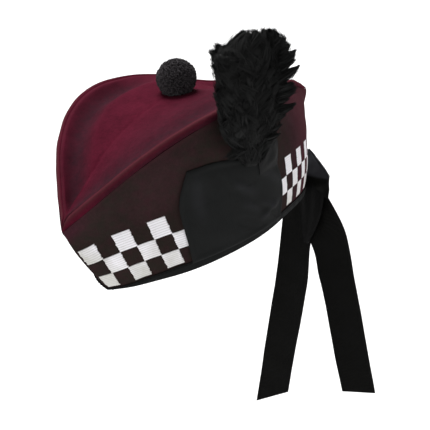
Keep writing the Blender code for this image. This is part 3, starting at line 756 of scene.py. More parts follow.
def felt_finish(name, shade, painted_shade, highlight_colour):
    """Milled wool: mottled, with a short nap, darker where painted shade is laid on it and redder where a
    painted highlight is.
    """
    look = bpy.context.scene.glengarry_felt
    made = Finish(name)
    clouds = made.noise(0.0070, 5.0, 0.75)
    flecks = made.noise(look.fibre * 2.4, 4.0, 0.80)
    nap = made.noise(look.fibre, 3.0, 0.75, (1, 1, 0.45))
    drift = made.noise(0.024, 3.0, 0.5)
    tone = (clouds * 0.45 + flecks * 0.45 + drift * 0.35 - 0.625) * (look.mottling * 4.0) + 0.5
    body = made.blend(tone.within(), scaled(shade, 0.62), scaled(shade, 1.38))
    blotches = made.noise(0.0060, 3.0, 0.6)
    # Painted shade: the felt turns to the shade colour where the flat note says, in blotches.
    flat = (made.note("flat") * (0.40 + blotches * 1.0)).within()
    body = made.blend(flat, body, made.blend(tone.within(), scaled(painted_shade, 0.75), scaled(painted_shade, 1.25)))
    # Painted highlight: the felt turns to the highlight colour along the ridges and over the back panel.
    rubbed = (made.note("rubbed") * (0.55 + flecks * 0.6)).within()
    made.set(Base_Color=made.blend(rubbed, body, highlight_colour), Roughness=0.86 + flecks * 0.12,
             Specular_IOR_Level=0.015, Sheen_Weight=look.sheen, Sheen_Roughness=0.55,
             Sheen_Tint=(1.0, 0.55, 0.60, 1))
    made.bump(nap * 0.55 + flecks * 0.45, 0.00070, 0.80)
    return made.material


def yarn_finish(name):
    """White worsted with a twist in each strand, yellowing towards the rim, with painted shade towards the
    front seam and between the rows.
    """
    look = bpy.context.scene.glengarry_dicing
    made = Finish(name)
    cloth = made.note("cloth", "Vector")
    run = made.part(cloth, 0)
    height = made.part(cloth, 1)
    strand = ((run + height * 0.55) * (2 * math.pi / TWIST_PITCH)).wave()
    clouds = made.noise(0.011, 3.0, 0.6)
    specks = made.noise(0.0006, 2.0, 0.7)
    # Painted shade towards the front seam, added to the yellowing towards the rim.
    front = (1.0 - run * (1 / FRONT_SHADE_ALONG)).within() * 1.4
    yellowed_and_shaded = (1.0 - height * (1 / YELLOW_UP) + front + (clouds - 0.5) * 1.6).within() * 0.80
    body = made.blend(yellowed_and_shaded, look.white, look.cream_and_shade)
    # Painted shade between the rows of yarn and at each square's edges.
    between = (1.0 - made.part(cloth, 2)) ** 2.0
    shade = (strand * 0.08 + specks * 0.20 + between * 0.45).within()
    made.set(Base_Color=made.blend(shade, body, scaled(look.cream_and_shade, 0.50)), Roughness=0.62 + specks * 0.25,
             Specular_IOR_Level=0.20, Sheen_Weight=0.05, Sheen_Roughness=0.4)
    made.bump(strand * 0.35 + specks * 0.65, 0.00018, 0.8)
    return made.material


def ribbon_finish(name, shade, gloss, pitch):
    """Ribbed ribbon: fine cords across it, a soft shine, and paler with painted light where the mesh says so.
    """
    look = bpy.context.scene.glengarry_ribbon
    made = Finish(name)
    cloth = made.note("cloth", "Vector")
    cord = (made.part(cloth, 0) * (2 * math.pi / pitch)).wave()
    weave = (made.part(cloth, 1) * (2 * math.pi / WEFT_PITCH)).wave()
    clouds = made.noise(0.022, 4.0, 0.55)
    specks = made.noise(0.0007, 2.0, 0.7)
    tone = (clouds * 0.75 + specks * 0.25 + cord * 0.05).within()
    body = made.blend(tone, scaled(shade, 0.62), scaled(shade, 1.40))
    # Painted light: where the pale note says, the ribbon turns to the paler lit colour.
    painted_light = made.blend(tone, scaled(look.painted_light, 0.80), scaled(look.painted_light, 1.25))
    made.set(Base_Color=made.blend(made.note("pale"), body, painted_light),
             Roughness=gloss + clouds * 0.16 + specks * 0.10,
             Specular_IOR_Level=0.04, Sheen_Weight=0.003, Sheen_Roughness=0.5)
    made.bump(cord * 0.6 + weave * 0.15 + specks * 0.25, 0.00022, 0.7)
    return made.material


def feather_finish(name, shade):
    """Dyed feather: each barb a little greyer or bluer than the next."""
    made = Finish(name)
    barb = made.note("tone")
    clouds = made.noise(0.009, 3.0, 0.6)
    grain = made.noise(0.0005, 2.0, 0.8, (1, 1, 0.3))
    tone = (barb * 0.55 + clouds * 0.45).within()
    made.set(Base_Color=made.blend(tone, scaled(shade, 0.75), scaled(shade, 1.35)),
             Roughness=0.62 + barb * 0.25, Specular_IOR_Level=0.025)
    made.bump(grain, 0.00015, 0.6)
    return made.material


def wool_finish(name, shade):
    """Matt wool: each cut end of yarn has its own tone and a frayed surface."""
    made = Finish(name)
    end = made.note("tone")
    fray = made.noise(0.0006, 3.0, 0.8)
    tone = (end * 0.6 + fray * 0.4).within()
    made.set(Base_Color=made.blend(tone, scaled(shade, 0.55), scaled(shade, 1.60)),
             Roughness=0.90 + fray * 0.08, Specular_IOR_Level=0.05, Sheen_Weight=0.01, Sheen_Roughness=0.6,
             Sheen_Tint=(1.0, 0.8, 0.85, 1))
    made.bump(fray, 0.00030, 0.8)
    return made.material


def uneven_runs(step):
    """Distances along the band from seam to seam, closer together at both seams."""
    near = np.array([0, 0.4, 0.8, 1.2, 1.7, 2.3, 3.0, 4.0]) * MM
    even = np.linspace(5 * MM, HALF_RUN - 5 * MM, int(HALF_RUN / step))
    return np.concatenate([near, even, (HALF_RUN - near)[::-1]])


def fuller_back(points):
    """The top of the back swells out round the end of the crown, and the far ridge follows its own line."""
    x, y, z = (points[..., axis] for axis in range(3))
    rise = BACK_FULLER * rising(x, 0.088, 0.036) * hump(z, 0.0815, 0.0112)
    corner = rising(x, 0.107, 0.014) * rising(z, 0.078, 0.012)
    far = rising(y, 0, 0.030) * rising(z, 0.067, 0.026)
    ahead = rising(x, -0.135, 0.030) * falling(x, 0.028, 0.040)
    behind = rising(x, 0.026, 0.022) * falling(x, 0.112, 0.030)
    high = far * (FAR_HIGHER * ahead - FAR_LOWER * behind) - CORNER_LOWER * corner
    return points + np.stack([rise, FAR_WIDER * far * ahead, high], -1)


def hem_level(place):
    return (1 - section("hem", place)) * BINDING_WIDTH / BAND_HEIGHT


def make_sides():
    look = bpy.context.scene.glengarry_felt
    material = felt_finish("maroon_felt_sides", look.side, look.painted_shade, look.edge)
    runs = uneven_runs(SIDE_STEP)
    places = place_of(runs)
    # The rows below this level spread down to the hem.
    foot = hem_level(places)[:, None]
    levels = np.concatenate([np.linspace(0, 1, BAND_STEPS), np.linspace(1, 2, SIDE_STEPS)[1:]])[None, :]
    level = np.where(levels < HEM_BLEND, foot + (HEM_BLEND - foot) * levels / HEM_BLEND, levels)
    place = np.broadcast_to(places[:, None], level.shape)
    run = np.broadcast_to(runs[:, None], level.shape)
    normal = wall_normal(place, level)
    # The top edge is drawn in a little, where the crown's seam pulls it.
    relief = felt_relief(run, level) - SIDE_TUCK * rising(level, 1.94, 0.06)
    outer = wall(place, level) + normal * relief[..., None]
    inner = outer - FELT * normal
    inner[:, -1] = outer[:, -1] - FELT * outline_normal(places)
    # A lip inside the top edge at both ends, so that no light shows through the crown's seam.
    inner[:, -1, 2] += SIDE_LIP * rising(np.abs(places - 0.5), 0.40, 0.05)
    # Painted highlight along the top, and painted light over the back panel. Elsewhere painted shade darkens
    # the sides, less at the nose, above the band's middle and on the back panel.
    back = rising(run, HALF_RUN - 90 * MM, 55 * MM)
    rubbed = 0.16 * rising(level, 1.91, 0.09) + 0.55 * back
    nose = hump(run, 0, 15 * MM) * rising(level, 1.35, 0.45)
    middle = 0.30 * hump(run, 62 * MM, 24 * MM) * rising(level, 0.9, 0.3)
    flat = (1 - 0.85 * nose - middle) * (1 - rubbed)
    flat = flat * (0.08 + 0.92 * falling(run, HALF_RUN - 48 * MM, 74 * MM))
    for name, side in (("side_left", 1), ("side_right", -1)):
        pile = Pile()
        flip = np.array([1, side, 1])
        faces = [tilt(fuller_back(keep_left(face) * flip)) for face in (outer, inner)]
        pile.shell(*faces, rubbed=rubbed, flat=flat)
        pile.piece("felt_" + name, material, "side_felt", (name,))


# The crown between its rolled ridge (0) and its middle (1): the share of its crease
CROWN_COLUMNS = ("inward", "crease")
CROWN_DIPS = ((0.00, 0.00), (0.18, 0.15), (0.38, 0.40), (0.68, 0.80), (1.00, 1.00))
# The groove inside each ridge: how far in it starts and ends, its depth, and how much painted shade darkens
# the felt beside it
GROOVE_LEFT = (0.0008, 0.0230, 0.0013, 1.0)
GROOVE_RIGHT = (0.0030, 0.0330, 0.0074, 0.2)
# It fades at both ends of the crown and where the crown's half is narrower than this.
GROOVE_FADE = 0.06
GROOVE_ROOM = 0.020
# The ridge's roll: how far it turns in, how far it comes down again, and how far round it goes
ROLL_ROUND = 0.0030
ROLL_BACK = 0.0013
ROLL_TURN = math.radians(150)
ROLL_STEPS = 15
INWARD_STEPS = 46
CREASE_PINCH = 0.00055


def crown_profile(half, crest, roll, fade, groove, crease_depth, ridge_shade, under):
    """Half of a cross section, from the seam over the ridge to the middle, with its painted highlight and
    painted shade.
    """
    turn = np.linspace(0, ROLL_TURN, ROLL_STEPS)
    width = np.minimum(ROLL_ROUND, 0.4 * half)
    out = half - width * (1 - np.cos(turn))
    roll_back = min(roll, 2 * ROLL_BACK)
    drop = np.where(turn < math.pi / 2, roll, roll_back) * (1 - np.sin(turn))
    back = roll_back * (1 - math.sin(ROLL_TURN))
    inward = np.linspace(0, 1, INWARD_STEPS)[1:] ** 1.25
    edge = out[-1]
    out = np.concatenate([out, edge * (1 - inward)])
    near, far, depth = groove
    along = np.clip((inward * edge - near) / (min(far, 0.9 * half + near) - near), 0, 1)
    groove = np.sin(math.pi * along ** 0.80) ** 1.5 * depth
    crease = read(CROWN_DIPS, CROWN_COLUMNS, "crease", inward) * crease_depth
    pinch = CREASE_PINCH * hump((1 - inward) * edge, 0, 1.8 * MM)
    dips = back * (1 - inward) ** 3 + groove + (crease + pinch) * fade
    up = np.concatenate([crest - drop, crest - dips])
    # Painted shade under the roll, beside the ridge and in the groove; painted highlight over the roll and
    # just inside it.
    painted_shade = np.concatenate([under * falling(turn, 0.70, 0.35), ridge_shade * (1 - inward) ** 0.9 + 80 * groove])
    rubbed = np.concatenate([hump(turn, 1.35, 0.60), 0.30 * hump(inward * edge, 0, 2.0 * MM)])
    return out, up, rubbed, painted_shade


def make_crown():
    look = bpy.context.scene.glengarry_felt
    material = felt_finish("maroon_felt_crown", look.crown, look.hollow_shade, look.edge)
    places = close_ends([0, 0.0006, 0.0015, 0.003, 0.005, 0.0075, 0.0105, 0.014, 0.018, 0.023], 0.029, 130)
    rows = []
    highlight_rows = []
    shade_rows = []
    ridges = ridge_ring(places)
    for place, ridge in zip(places, ridges):
        half = max(-ridge[1], 0.05 * MM)
        roll = ROLL * math.sqrt(min(1, half / NOSE_HALF))
        crest = ridge[2] - ROLL + roll
        to_end = min(place, 1 - place)
        fade = ease(to_end / DIP_FADE)
        crease = CREASE_DEPTH - TOORIE_SEAT * hump((place - TOORIE_PLACE) * CROWN_LENGTH, 0, TOORIE_ROOM)
        held = ease(to_end / GROOVE_FADE) * min(1, half / GROOVE_ROOM)
        # Painted shade under the roll and beside the ridges, more of it behind the middle and at the front.
        under = 0.55 * rising(place, 0.03, 0.08) * falling(place, 1, 0.10)
        ridge_shade = 0.65 + 0.32 * rising(place, 0.42, 0.20) + 0.18 * falling(place, 0.25, 0.20)
        # The right groove fades out beside the toorie.
        right_kept = 1 - 0.75 * rising(place, 0.42, 0.14)
        halves = []
        shade_halves = []
        for (near, far, depth, shade_share), kept in ((GROOVE_LEFT, 1), (GROOVE_RIGHT, right_kept)):
            groove = (near, far, depth * held * kept)
            out, up, rubbed, painted_shade = crown_profile(
                half, crest, roll, fade, groove, crease, shade_share * ridge_shade * kept, under)
            halves.append(np.stack([np.full(len(out), ridge[0]), -out, up], -1))
            shade_halves.append(painted_shade)
        rows.append(np.concatenate([halves[0], mirrored(halves[1][-2::-1])]))
        highlight_rows.append(np.concatenate([rubbed, rubbed[-2::-1]]))
        shade_rows.append(np.concatenate([shade_halves[0], shade_halves[1][-2::-1]]))
    outer = np.array(rows)
    spread = np.minimum(1, -ridges[:, 1] / NOSE_HALF)[:, None]
    normal = grid_normals(outer)
    normal = normal * np.sign(normal[len(places) // 2, outer.shape[1] // 2, 2])
    soft = look.unevenness * (1.4 * ripple(outer, 0.060, 4) + 0.7 * ripple(outer, 0.026, 5)) * spread
    outer = outer + normal * soft[..., None]
    thick = FELT * np.minimum(1, -ridges[:, 1] / (3 * FELT))[:, None, None]
    inner = outer - normal * np.maximum(thick, 0.02 * MM)
    # The inner face keeps to its own side of the middle where the crown is narrow.
    side = np.sign(outer[..., 1])
    nearer = np.minimum(np.abs(inner[..., 1]), np.abs(outer[..., 1]))
    inner[..., 1] = side * np.where(np.sign(inner[..., 1]) == side, nearer, 0)
    faces = [tilt(fuller_back(face)) for face in (outer, inner)]
    pile = Pile()
    pile.shell(*faces, rubbed=np.array(highlight_rows), flat=np.array(shade_rows))
    pile.piece("felt_crown", material, "crown_felt", ("crown_top",))


# Distance round the binding between two rows of its section, for its weave
ROW_STEP = 0.0008
# The sewing thread's thickness, one stitch's width at shares of its length, the points round it, and how far
# it keeps below the binding's edge and above its face
THREAD = 0.00045
STITCH_ROWS = ((0.06, 0.45), (0.3, 1.0), (0.7, 1.0), (0.94, 0.45))
STITCH_SIDES = 6
STITCH_DOWN = 0.0013
STITCH_LIFT = 0.00012


def make_binding():
    look = bpy.context.scene.glengarry_ribbon
    material = ribbon_finish("binding_ribbon", scaled(look.grey, 0.72), 0.55, look.rib)
    runs = uneven_runs(look.rib / 2)
    place = place_of(runs)
    hem = hem_level(place) * BAND_HEIGHT
    out = wall_normal(place, np.full(place.shape, 0.5))
    # At both seams the ribbon stands off straight ahead or back, so that its two halves meet.
    straight = out * np.array([1, 0, 1])
    straight = straight / np.abs(straight[:, :1])
    to_seam = np.minimum(runs, HALF_RUN - runs)
    blend = ease(to_seam / (5 * MM))[:, None]
    out = straight * (1 - blend) + out * blend
    rib = look.rib_relief * np.cos(2 * math.pi * runs / look.rib)
    # Its section, as lift off the felt and height: down the outside, round under the hem and up the inside
    top = BINDING_WIDTH - GAP
    depth = GAP + RIBBON
    section_rows = []
    for share_up in (1.0, 0.85, 0.6, 0.35, 0.12):
        lift = depth - 0.25 * MM * (share_up == 1.0) + rib * (share_up < 1.0)
        section_rows.append((lift, hem + (top - hem) * share_up))
    middle = -FELT / 2
    for angle in np.linspace(0.15, math.pi - 0.15, 7):
        section_rows.append((middle + (depth - middle) * math.cos(angle), hem - depth * math.sin(angle)))
    for share_up in (0.12, 0.5, 0.85, 1.0):
        section_rows.append((-FELT - depth - rib * (share_up < 1.0), hem + BINDING_INSIDE * share_up))
    # The last four rows close the section against the felt.
    under = hem - GAP * 0.5
    section_rows += [(-FELT - GAP, hem + BINDING_INSIDE), (-FELT - GAP, under)]
    section_rows += [(GAP, under), (GAP, top + 0 * hem)]
    columns = []
    notes = []
    relief = felt_relief(runs, np.zeros(runs.shape))
    around = 0
    for lift, height in section_rows:
        columns.append(wall(place, height / BAND_HEIGHT) + out * (lift + relief)[:, None])
        around += ROW_STEP
        notes.append(np.stack([runs, np.full(runs.shape, around), 0 * runs], -1))
    left = keep_left(np.stack(columns, 1), 0.02 * MM, 0.1 * MM)
    left_notes = np.stack(notes, 1)
    rows = np.concatenate([left, mirrored(left)[::-1]])
    pile = Pile()
    pile.ring(tilt(rows), cloth=np.concatenate([left_notes, left_notes[::-1]]))
    pile.piece("rim_binding", material, "ribbon", ("binding",))


def seam_stitches(pile, starts, ends, ups):
    """A row of thread stitches, each a slim bead from its start to its end."""
    aside = unit(np.cross(unit(ends - starts), ups))
    shapes = []
    for along, wide in STITCH_ROWS:
        centre = starts + (ends - starts) * along
        for k in range(STITCH_SIDES):
            angle = 2 * math.pi * k / STITCH_SIDES
            out = aside * math.cos(angle) + ups * 0.6 * math.sin(angle)
            shapes.append(centre + out * THREAD / 2 * wide)
    shapes += [starts, ends]
    tip = len(STITCH_ROWS) * STITCH_SIDES
    quads = tube_quads(len(STITCH_ROWS), STITCH_SIDES)
    first = fan(0, STITCH_SIDES, tip)[:, ::-1]
    triangles = np.concatenate([first, fan(tip - STITCH_SIDES, STITCH_SIDES, tip + 1)])
    pile.add_copies(np.stack(shapes, 1), quads, triangles, tone=np.linspace(0, 1, len(starts)))


def make_stitching():
    """The machine stitching along the binding's upper edge."""
    look = bpy.context.scene.glengarry_ribbon
    material = wool_finish("sewing_thread", scaled(look.black, 1.6))
    pile = Pile()
    pitch = look.stitch * 1.25
    starts_at = np.arange(4 * MM, HALF_RUN - 6 * MM, pitch)
    height = BINDING_WIDTH - STITCH_DOWN
    lift = GAP + RIBBON + STITCH_LIFT
    starts = on_wall(starts_at, height, lift)
    ends = on_wall(starts_at + look.stitch, height, lift)
    place = place_of(starts_at)
    ups = wall_normal(place, np.full(place.shape, height / BAND_HEIGHT))
    for side in (1, -1):
        flip = np.array([1, side, 1])
        seam_stitches(pile, tilt(starts * flip), tilt(ends * flip), tilt(ups * flip))
    pile.piece("binding_stitches", material, "ribbon")


# How far a square's foot stands off the felt, how far the outer rows keep from the binding and the band's
# top, and how far the first squares keep from the front seam
DICE_BASE = 0.00002
EDGE_ROW_TUCK = 0.0011
SEAM_CLEAR_LEFT = 0.0018
SEAM_CLEAR_RIGHT = 0.0055


def is_white(column, row):
    return (column + row) % 2 == 0


def square_face(look, chance, column, row, u, v):
    """One white square over its shares across and up: run, height and lift, and how much yarn shows, which
    sets the painted shade between its rows.
    """
    courses = look.courses
    # Towards the back the squares are narrower and stand up less.
    at_back = rising(column, 9.5, 3)
    course = np.minimum((v * courses).astype(int), courses - 1)
    tooth = np.abs(np.sin(math.pi * courses * v))
    jitter = chance.uniform(-1, 1, (2, courses))
    ends = [look.ragged * (0.5 * tooth + 0.8 * jitter[k][course]) for k in range(2)]
    shift = chance.normal(0, 0.10 * MM, 2)
    run = column * DICE + u * DICE - ends[0] * (1 - u) ** 4 + ends[1] * u ** 4 + shift[0]
    bow = 0.15 * MM * chance.normal() * np.sin(math.pi * u)
    # The outer rows and the first column keep clear of the binding, the band's top and the seam.
    tucked = (row == 0) * EDGE_ROW_TUCK * (1 - v)
    height = BINDING_WIDTH + row * DICE + v * DICE + tucked + shift[1] * 0.6 + bow
    run = run + (column == 0) * SEAM_CLEAR_LEFT * (1 - u) + at_back * 1.0 * MM * (0.5 - u)
    height = height + (row == DICE_ROWS - 1) * EDGE_ROW_TUCK * v
    height = np.maximum(height, BINDING_WIDTH + 0.1 * MM)
    edge = np.minimum(np.minimum(u, 1 - u), np.minimum(v, 1 - v)) * DICE
    puff = ease(edge / (0.8 * MM))
    slant = np.sin(2 * math.pi * (courses * u + courses * v * 0.5))
    lift = 0.08 * MM + DICE_RISE * (0.15 + 0.45 * puff) * (1 - 0.7 * at_back)
    lift = lift + 0.6 * look.relief * (tooth - 1) * (0.3 + 0.7 * puff) + 0.20 * look.relief * slant * puff
    return run, height, lift, tooth * (0.6 + 0.4 * puff)


def make_dicing():
    look = bpy.context.scene.glengarry_dicing
    material = yarn_finish("white_yarn")
    chance = np.random.default_rng(look.seed)
    across = np.linspace(0, 1, 3 * look.courses + 1)
    up = np.linspace(0, 1, 4 * look.courses + 1)
    u, v = np.meshgrid(across, up, indexing="ij")
    rows, cols = u.shape
    loop = rim_loop(rows, cols)
    number = rows * cols
    low = number + np.arange(len(loop))
    walls = np.stack([np.roll(loop, -1), loop, low, np.roll(low, -1)], -1)
    quads = np.concatenate([grid_quads(rows, cols), walls])
    floor = fan(number, len(loop), number + len(loop))
    piles = {"dice_left": Pile(), "dice_right": Pile()}
    for column in range(DICE_COLUMNS):
        for row in range(DICE_ROWS):
            if not is_white(column, row):
                continue
            run, height, lift, yarn = square_face(look, chance, column, row, u, v)
            first = column == 0
            under_patch = PATCH_COLUMN <= column < PATCH_COLUMNS_END
            for side, left_out, clear in (("dice_left", under_patch, 0),
                                          ("dice_right", first and row == 0, first * SEAM_CLEAR_RIGHT)):
                if left_out:
                    continue
                along = run + clear * (1 - u)
                base_run = along.ravel()[loop]
                base_height = height.ravel()[loop]
                top = on_wall(along, height, lift).reshape(-1, 3)
                base = on_wall(base_run, base_height, DICE_BASE)
                middle = on_wall(along.mean(), BINDING_WIDTH + (row + 0.5) * DICE, DICE_BASE).reshape(1, 3)
                points = keep_left(np.concatenate([top, base, middle]))
                notes = ((along, base_run), (height, base_height), (yarn, 0 * base_run))
                spots = np.stack([np.concatenate([face.ravel(), foot, [0]]) for face, foot in notes], -1)
                if side == "dice_right":
                    points = mirrored(points)
                piles[side].add(tilt(points), quads, floor, cloth=spots)
    for side, pile in piles.items():
        pile.piece(side, material, "white_embroidery", (side.replace("dice", "dicing"),), sharp=75)


def patch_spot(across, up):
    """Run along the band and height above the rim of a point of the patch."""
    front = read(PATCH_SIDES, PATCH_SIDE_COLUMNS, "front", up)
    rear = read(PATCH_SIDES, PATCH_SIDE_COLUMNS, "rear", up)
    top = read(PATCH_TOP, PATCH_TOP_COLUMNS, "top", across)
    run = PATCH_START + PATCH_WIDTH * (front + (rear - front) * across)
    return run, PATCH_FOOT + PATCH_HEIGHT * top * up


# Soft wrinkles of the patch: from and to, each across and up in shares of its width and height, then the
# wrinkle's width and depth
WRINKLES = (
    (0.60, 0.40, 0.90, 0.12, 0.0032, -0.0022),
    (0.52, 0.42, 0.84, 0.24, 0.0038, 0.0020),
    (0.44, 0.26, 0.70, 0.08, 0.0034, -0.0018),
    (0.66, 0.16, 0.92, 0.30, 0.0030, 0.0014),
    (0.10, 0.92, 0.16, 0.42, 0.0050, 0.0012),
    (0.30, 0.88, 0.44, 0.60, 0.0045, -0.0014),
    (0.40, 0.74, 0.62, 0.52, 0.0040, 0.0013),
    (0.74, 0.78, 0.98, 0.52, 0.0045, 0.0012),
)


def wrinkle_relief(run, height):
    total = np.zeros(run.shape)
    for from_across, from_up, to_across, to_up, width, depth in WRINKLES:
        first = np.array([float(a) for a in patch_spot(np.array(from_across), np.array(from_up))])
        last = np.array([float(a) for a in patch_spot(np.array(to_across), np.array(to_up))])
        spot = np.stack([run, height], -1) - first
        way = last - first
        along = np.clip((spot @ way) / (way @ way), 0, 1)
        off = np.linalg.norm(spot - along[..., None] * way, axis=-1)
        ends = np.sin(math.pi * np.clip(0.12 + along * 0.76, 0, 1))
        total += depth * hump(off, 0, width) * ends
    return total


def to_edge(across, up, width, height):
    """Distance from the nearest edge of a sheet of this size."""
    return np.minimum(np.minimum(across, 1 - across) * width, np.minimum(up, 1 - up) * height)


def make_patch():
    look = bpy.context.scene.glengarry_ribbon
    material = ribbon_finish("patch_ribbon", look.grey, 0.62, look.rib * 0.8)
    across, up = np.meshgrid(close_ends([0, 0.004, 0.012, 0.024], 0.04, 84),
                             close_ends([0, 0.006, 0.016, 0.030], 0.05, 70), indexing="ij")
    run, height = patch_spot(across, up)
    edge = to_edge(across, up, PATCH_WIDTH, PATCH_HEIGHT)
    hem = PATCH_HEM * hump(edge, 2.4 * MM, 1.5 * MM) * ease(edge / (0.8 * MM))
    puff = PATCH_PUFF * ease(edge / 0.016) * rising(height, 0.030, 0.030)
    loose = 0.28 * MM * ripple(np.stack([run, height], -1), 0.030, 8) * ease(edge / 0.006)
    wrinkles = wrinkle_relief(run, height)
    face = RIBBON * (0.45 + 0.55 * ease(edge / (0.7 * MM))) + hem + puff + loose
    face = np.maximum(face + wrinkles * ease(edge / 0.004), 0.35 * MM)
    # Above the squares its top edge settles onto the felt.
    settles = hump((1 - up) * PATCH_HEIGHT, 0, 7 * MM) * rising(height, 0.052, 0.006)
    settled = PATCH_LIFT - PATCH_SETTLES * settles
    outer = on_wall(run, height, settled + face)
    inner = on_wall(run, height, settled)
    notes = np.stack([height, run, 0 * run], -1)
    pile = Pile()
    # Painted highlight on the wrinkles' raised crests.
    pile.shell(tilt(outer), tilt(inner), cloth=notes, pale=0.30 * rising(wrinkles, -0.1 * MM, 1.4 * MM))
    item = pile.piece("patch_on_side", material, "ribbon", ("ribbon_patch",))


def make_fan():
    look = bpy.context.scene.glengarry_ribbon
    # The fan is the patch's ribbon painted paler: painted light where its fold catches the light.
    material = ribbon_finish("fan_ribbon", look.pale, 0.55, look.rib * 0.8)
    across, up = np.meshgrid(np.linspace(0, 1, 61), np.linspace(0, 1, 49), indexing="ij")
    run = PATCH_START + FOLD_ALONG + FOLD_WIDTH * across * (0.80 + 0.20 * up)
    height = PATCH_FOOT + FOLD_UP + FOLD_HEIGHT * up * (1 - FOLD_SLOPE * across ** 1.5)
    turn = np.arctan2(up + 0.15, across + 0.10)
    pleats = FOLD_PLEATS * np.cos(turn * 11) * ease(up * 2)
    edge = to_edge(across, up, FOLD_WIDTH, FOLD_HEIGHT)
    swell = FOLD_SWELL * ease(edge / 0.009) + pleats * ease(edge / 0.003)
    lift = FOLD_LIFT + 1.0 * MM + RIBBON * 0.8 + swell
    outer = on_wall(run, height, lift)
    inner = on_wall(run, height, lift - look.thickness)
    notes = np.stack([run, height, 0 * run], -1)
    pile = Pile()
    pile.shell(tilt(outer), tilt(inner), cloth=notes)
    item = pile.piece("fan_beside_plume", material, "ribbon", ("ribbon_fold",))


def plume_root():
    """Where the plume's foot stands on the patch, in the world."""
    return tilt(on_wall(PATCH_START + PLUME_ALONG, PATCH_FOOT + PLUME_UP, PATCH_LIFT + RIBBON + GAP))


def plume_point(up, angle, reach):
    """Points of the plume at this height in mm, this way round and this share of its reach, in the world."""
    up, angle, reach = np.broadcast_arrays(*(np.asarray(a, float) for a in (up, angle, reach)))
    heights, *others = (table_column(PLUME_ROWS, PLUME_COLUMNS, name) for name in PLUME_COLUMNS)
    left, right, depth = (np.interp(up, heights, values) * MM for values in others)
    # The table's reaches are those that show from the front left, so the depth's share of them comes off.
    seen = np.where(np.cos(angle) > 0, right, left)
    shown = (CAMERA_RIGHT[1] * depth) ** 2
    side = np.sqrt(np.maximum(seen ** 2 - shown, (0.5 * seen) ** 2)) / CAMERA_RIGHT[0]
    # It leans out to the front left, along the line of sight, so that it still looks upright from there.
    lean = PLUME_LEAN * ease(up / 40)
    heart = lean * CAMERA_RIGHT[0] / CAMERA_RIGHT[1]
    centre = plume_root() + np.stack([-lean - PLUME_NEARER, heart - PLUME_NEARER, up * MM], -1)
    return centre + reach[..., None] * np.stack([np.cos(angle) * side, np.sin(angle) * depth, 0 * up], -1)


# One barb: its width at shares of its length, before its pointed tip
BARB_ROWS = ((0.00, 0.70), (0.38, 1.00), (0.76, 0.62))


def add_blades(pile, roots, bends, tips, widths, tones, flat=0.5):
    """Slim three-edged blades along bent lines, each ending in a point."""
    run_first = bends - roots
    run_last = tips - bends
    aside = unit(np.cross(run_first, run_last) + 1e-9)
    shapes = []
    for along, wide in BARB_ROWS:
        centre = roots * (1 - along) ** 2 + bends * 2 * along * (1 - along) + tips * along ** 2
        run = unit(run_first * (1 - along) + run_last * along)
        face = unit(np.cross(aside, run))
        half = (widths * wide / 2)[:, None]
        shapes += [centre + aside * half, centre - aside * half, centre + face * half * 2 * flat]
    shapes.append(tips)
    rings = len(BARB_ROWS)
    triangles = np.concatenate([[(0, 2, 1)], fan((rings - 1) * 3, 3, rings * 3)])
    pile.add_copies(np.stack(shapes, 1), tube_quads(rings, 3), triangles, tone=tones)


# Tufts that stand out of the plume's outline: tip and foot, each right and up in mm as seen from the front
# left, then spread and bluntness in mm, and how many barbs
TUFTS = (
    (31.2, 87.2, 22.0, 80.0, 2.2, 0.4, 220),
    (29.6, 83.6, 20.0, 78.0, 2.2, 1.2, 200),
    (30.8, 80.4, 20.0, 74.5, 2.0, 0.5, 200),
    (33.8, 76.2, 21.0, 67.5, 2.2, 0.3, 330),
    (29.4, 72.6, 19.0, 65.0, 2.0, 0.8, 160),
    (30.0, 63.4, 18.0, 60.0, 2.2, 0.9, 240),
    (31.6, 60.6, 18.0, 56.0, 2.4, 1.1, 260),
    (31.0, 57.8, 17.0, 52.5, 2.2, 0.8, 220),
    (26.5, 53.0, 15.0, 48.5, 2.0, 0.8, 140),
    (31.6, 49.0, 17.0, 43.0, 2.0, 0.6, 300),
    (29.5, 46.6, 16.0, 41.0, 2.0, 0.8, 180),
    (24.5, 41.0, 14.0, 37.0, 1.8, 0.6, 120),
    (21.8, 34.0, 12.0, 29.0, 1.5, 0.4, 160),
    (20.8, 27.2, 11.0, 23.0, 1.4, 0.4, 160),
    (26.4, 90.8, 19.0, 86.0, 2.0, 1.0, 180),
    (21.0, 95.2, 14.0, 88.0, 2.0, 1.0, 180),
    (13.5, 97.8, 9.5, 90.0, 2.4, 1.2, 200),
    (4.5, 97.8, 4.0, 89.0, 2.4, 1.2, 200),
    (-6.5, 97.4, -3.0, 88.0, 2.4, 1.2, 200),
    (-30.0, 86.4, -16.0, 79.0, 2.8, 1.4, 300),
    (-26.0, 90.4, -14.0, 82.0, 2.6, 1.4, 280),
    (-28.0, 81.0, -16.0, 75.0, 2.4, 1.2, 220),
    (-26.6, 75.0, -15.0, 69.0, 2.4, 1.2, 160),
    (-17.0, 9.0, -7.0, 15.0, 2.2, 2.0, 110),
    (-25.8, 61.0, -14.0, 55.0, 2.4, 1.2, 200),
    (-24.6, 57.0, -14.0, 51.0, 2.4, 1.0, 160),
)


# The plume's height in mm, points round its body, and its rings of locks: how many rings, locks in each, and
# the height in mm up to which there are fewer
PLUME_TALL = PLUME_ROWS[-1][0]
PLUME_TURNS = 64
LOCK_RINGS = 20
LOCKS_ROUND = 24
LOCKS_AT_FOOT = 14
FOOT_TALL = 20


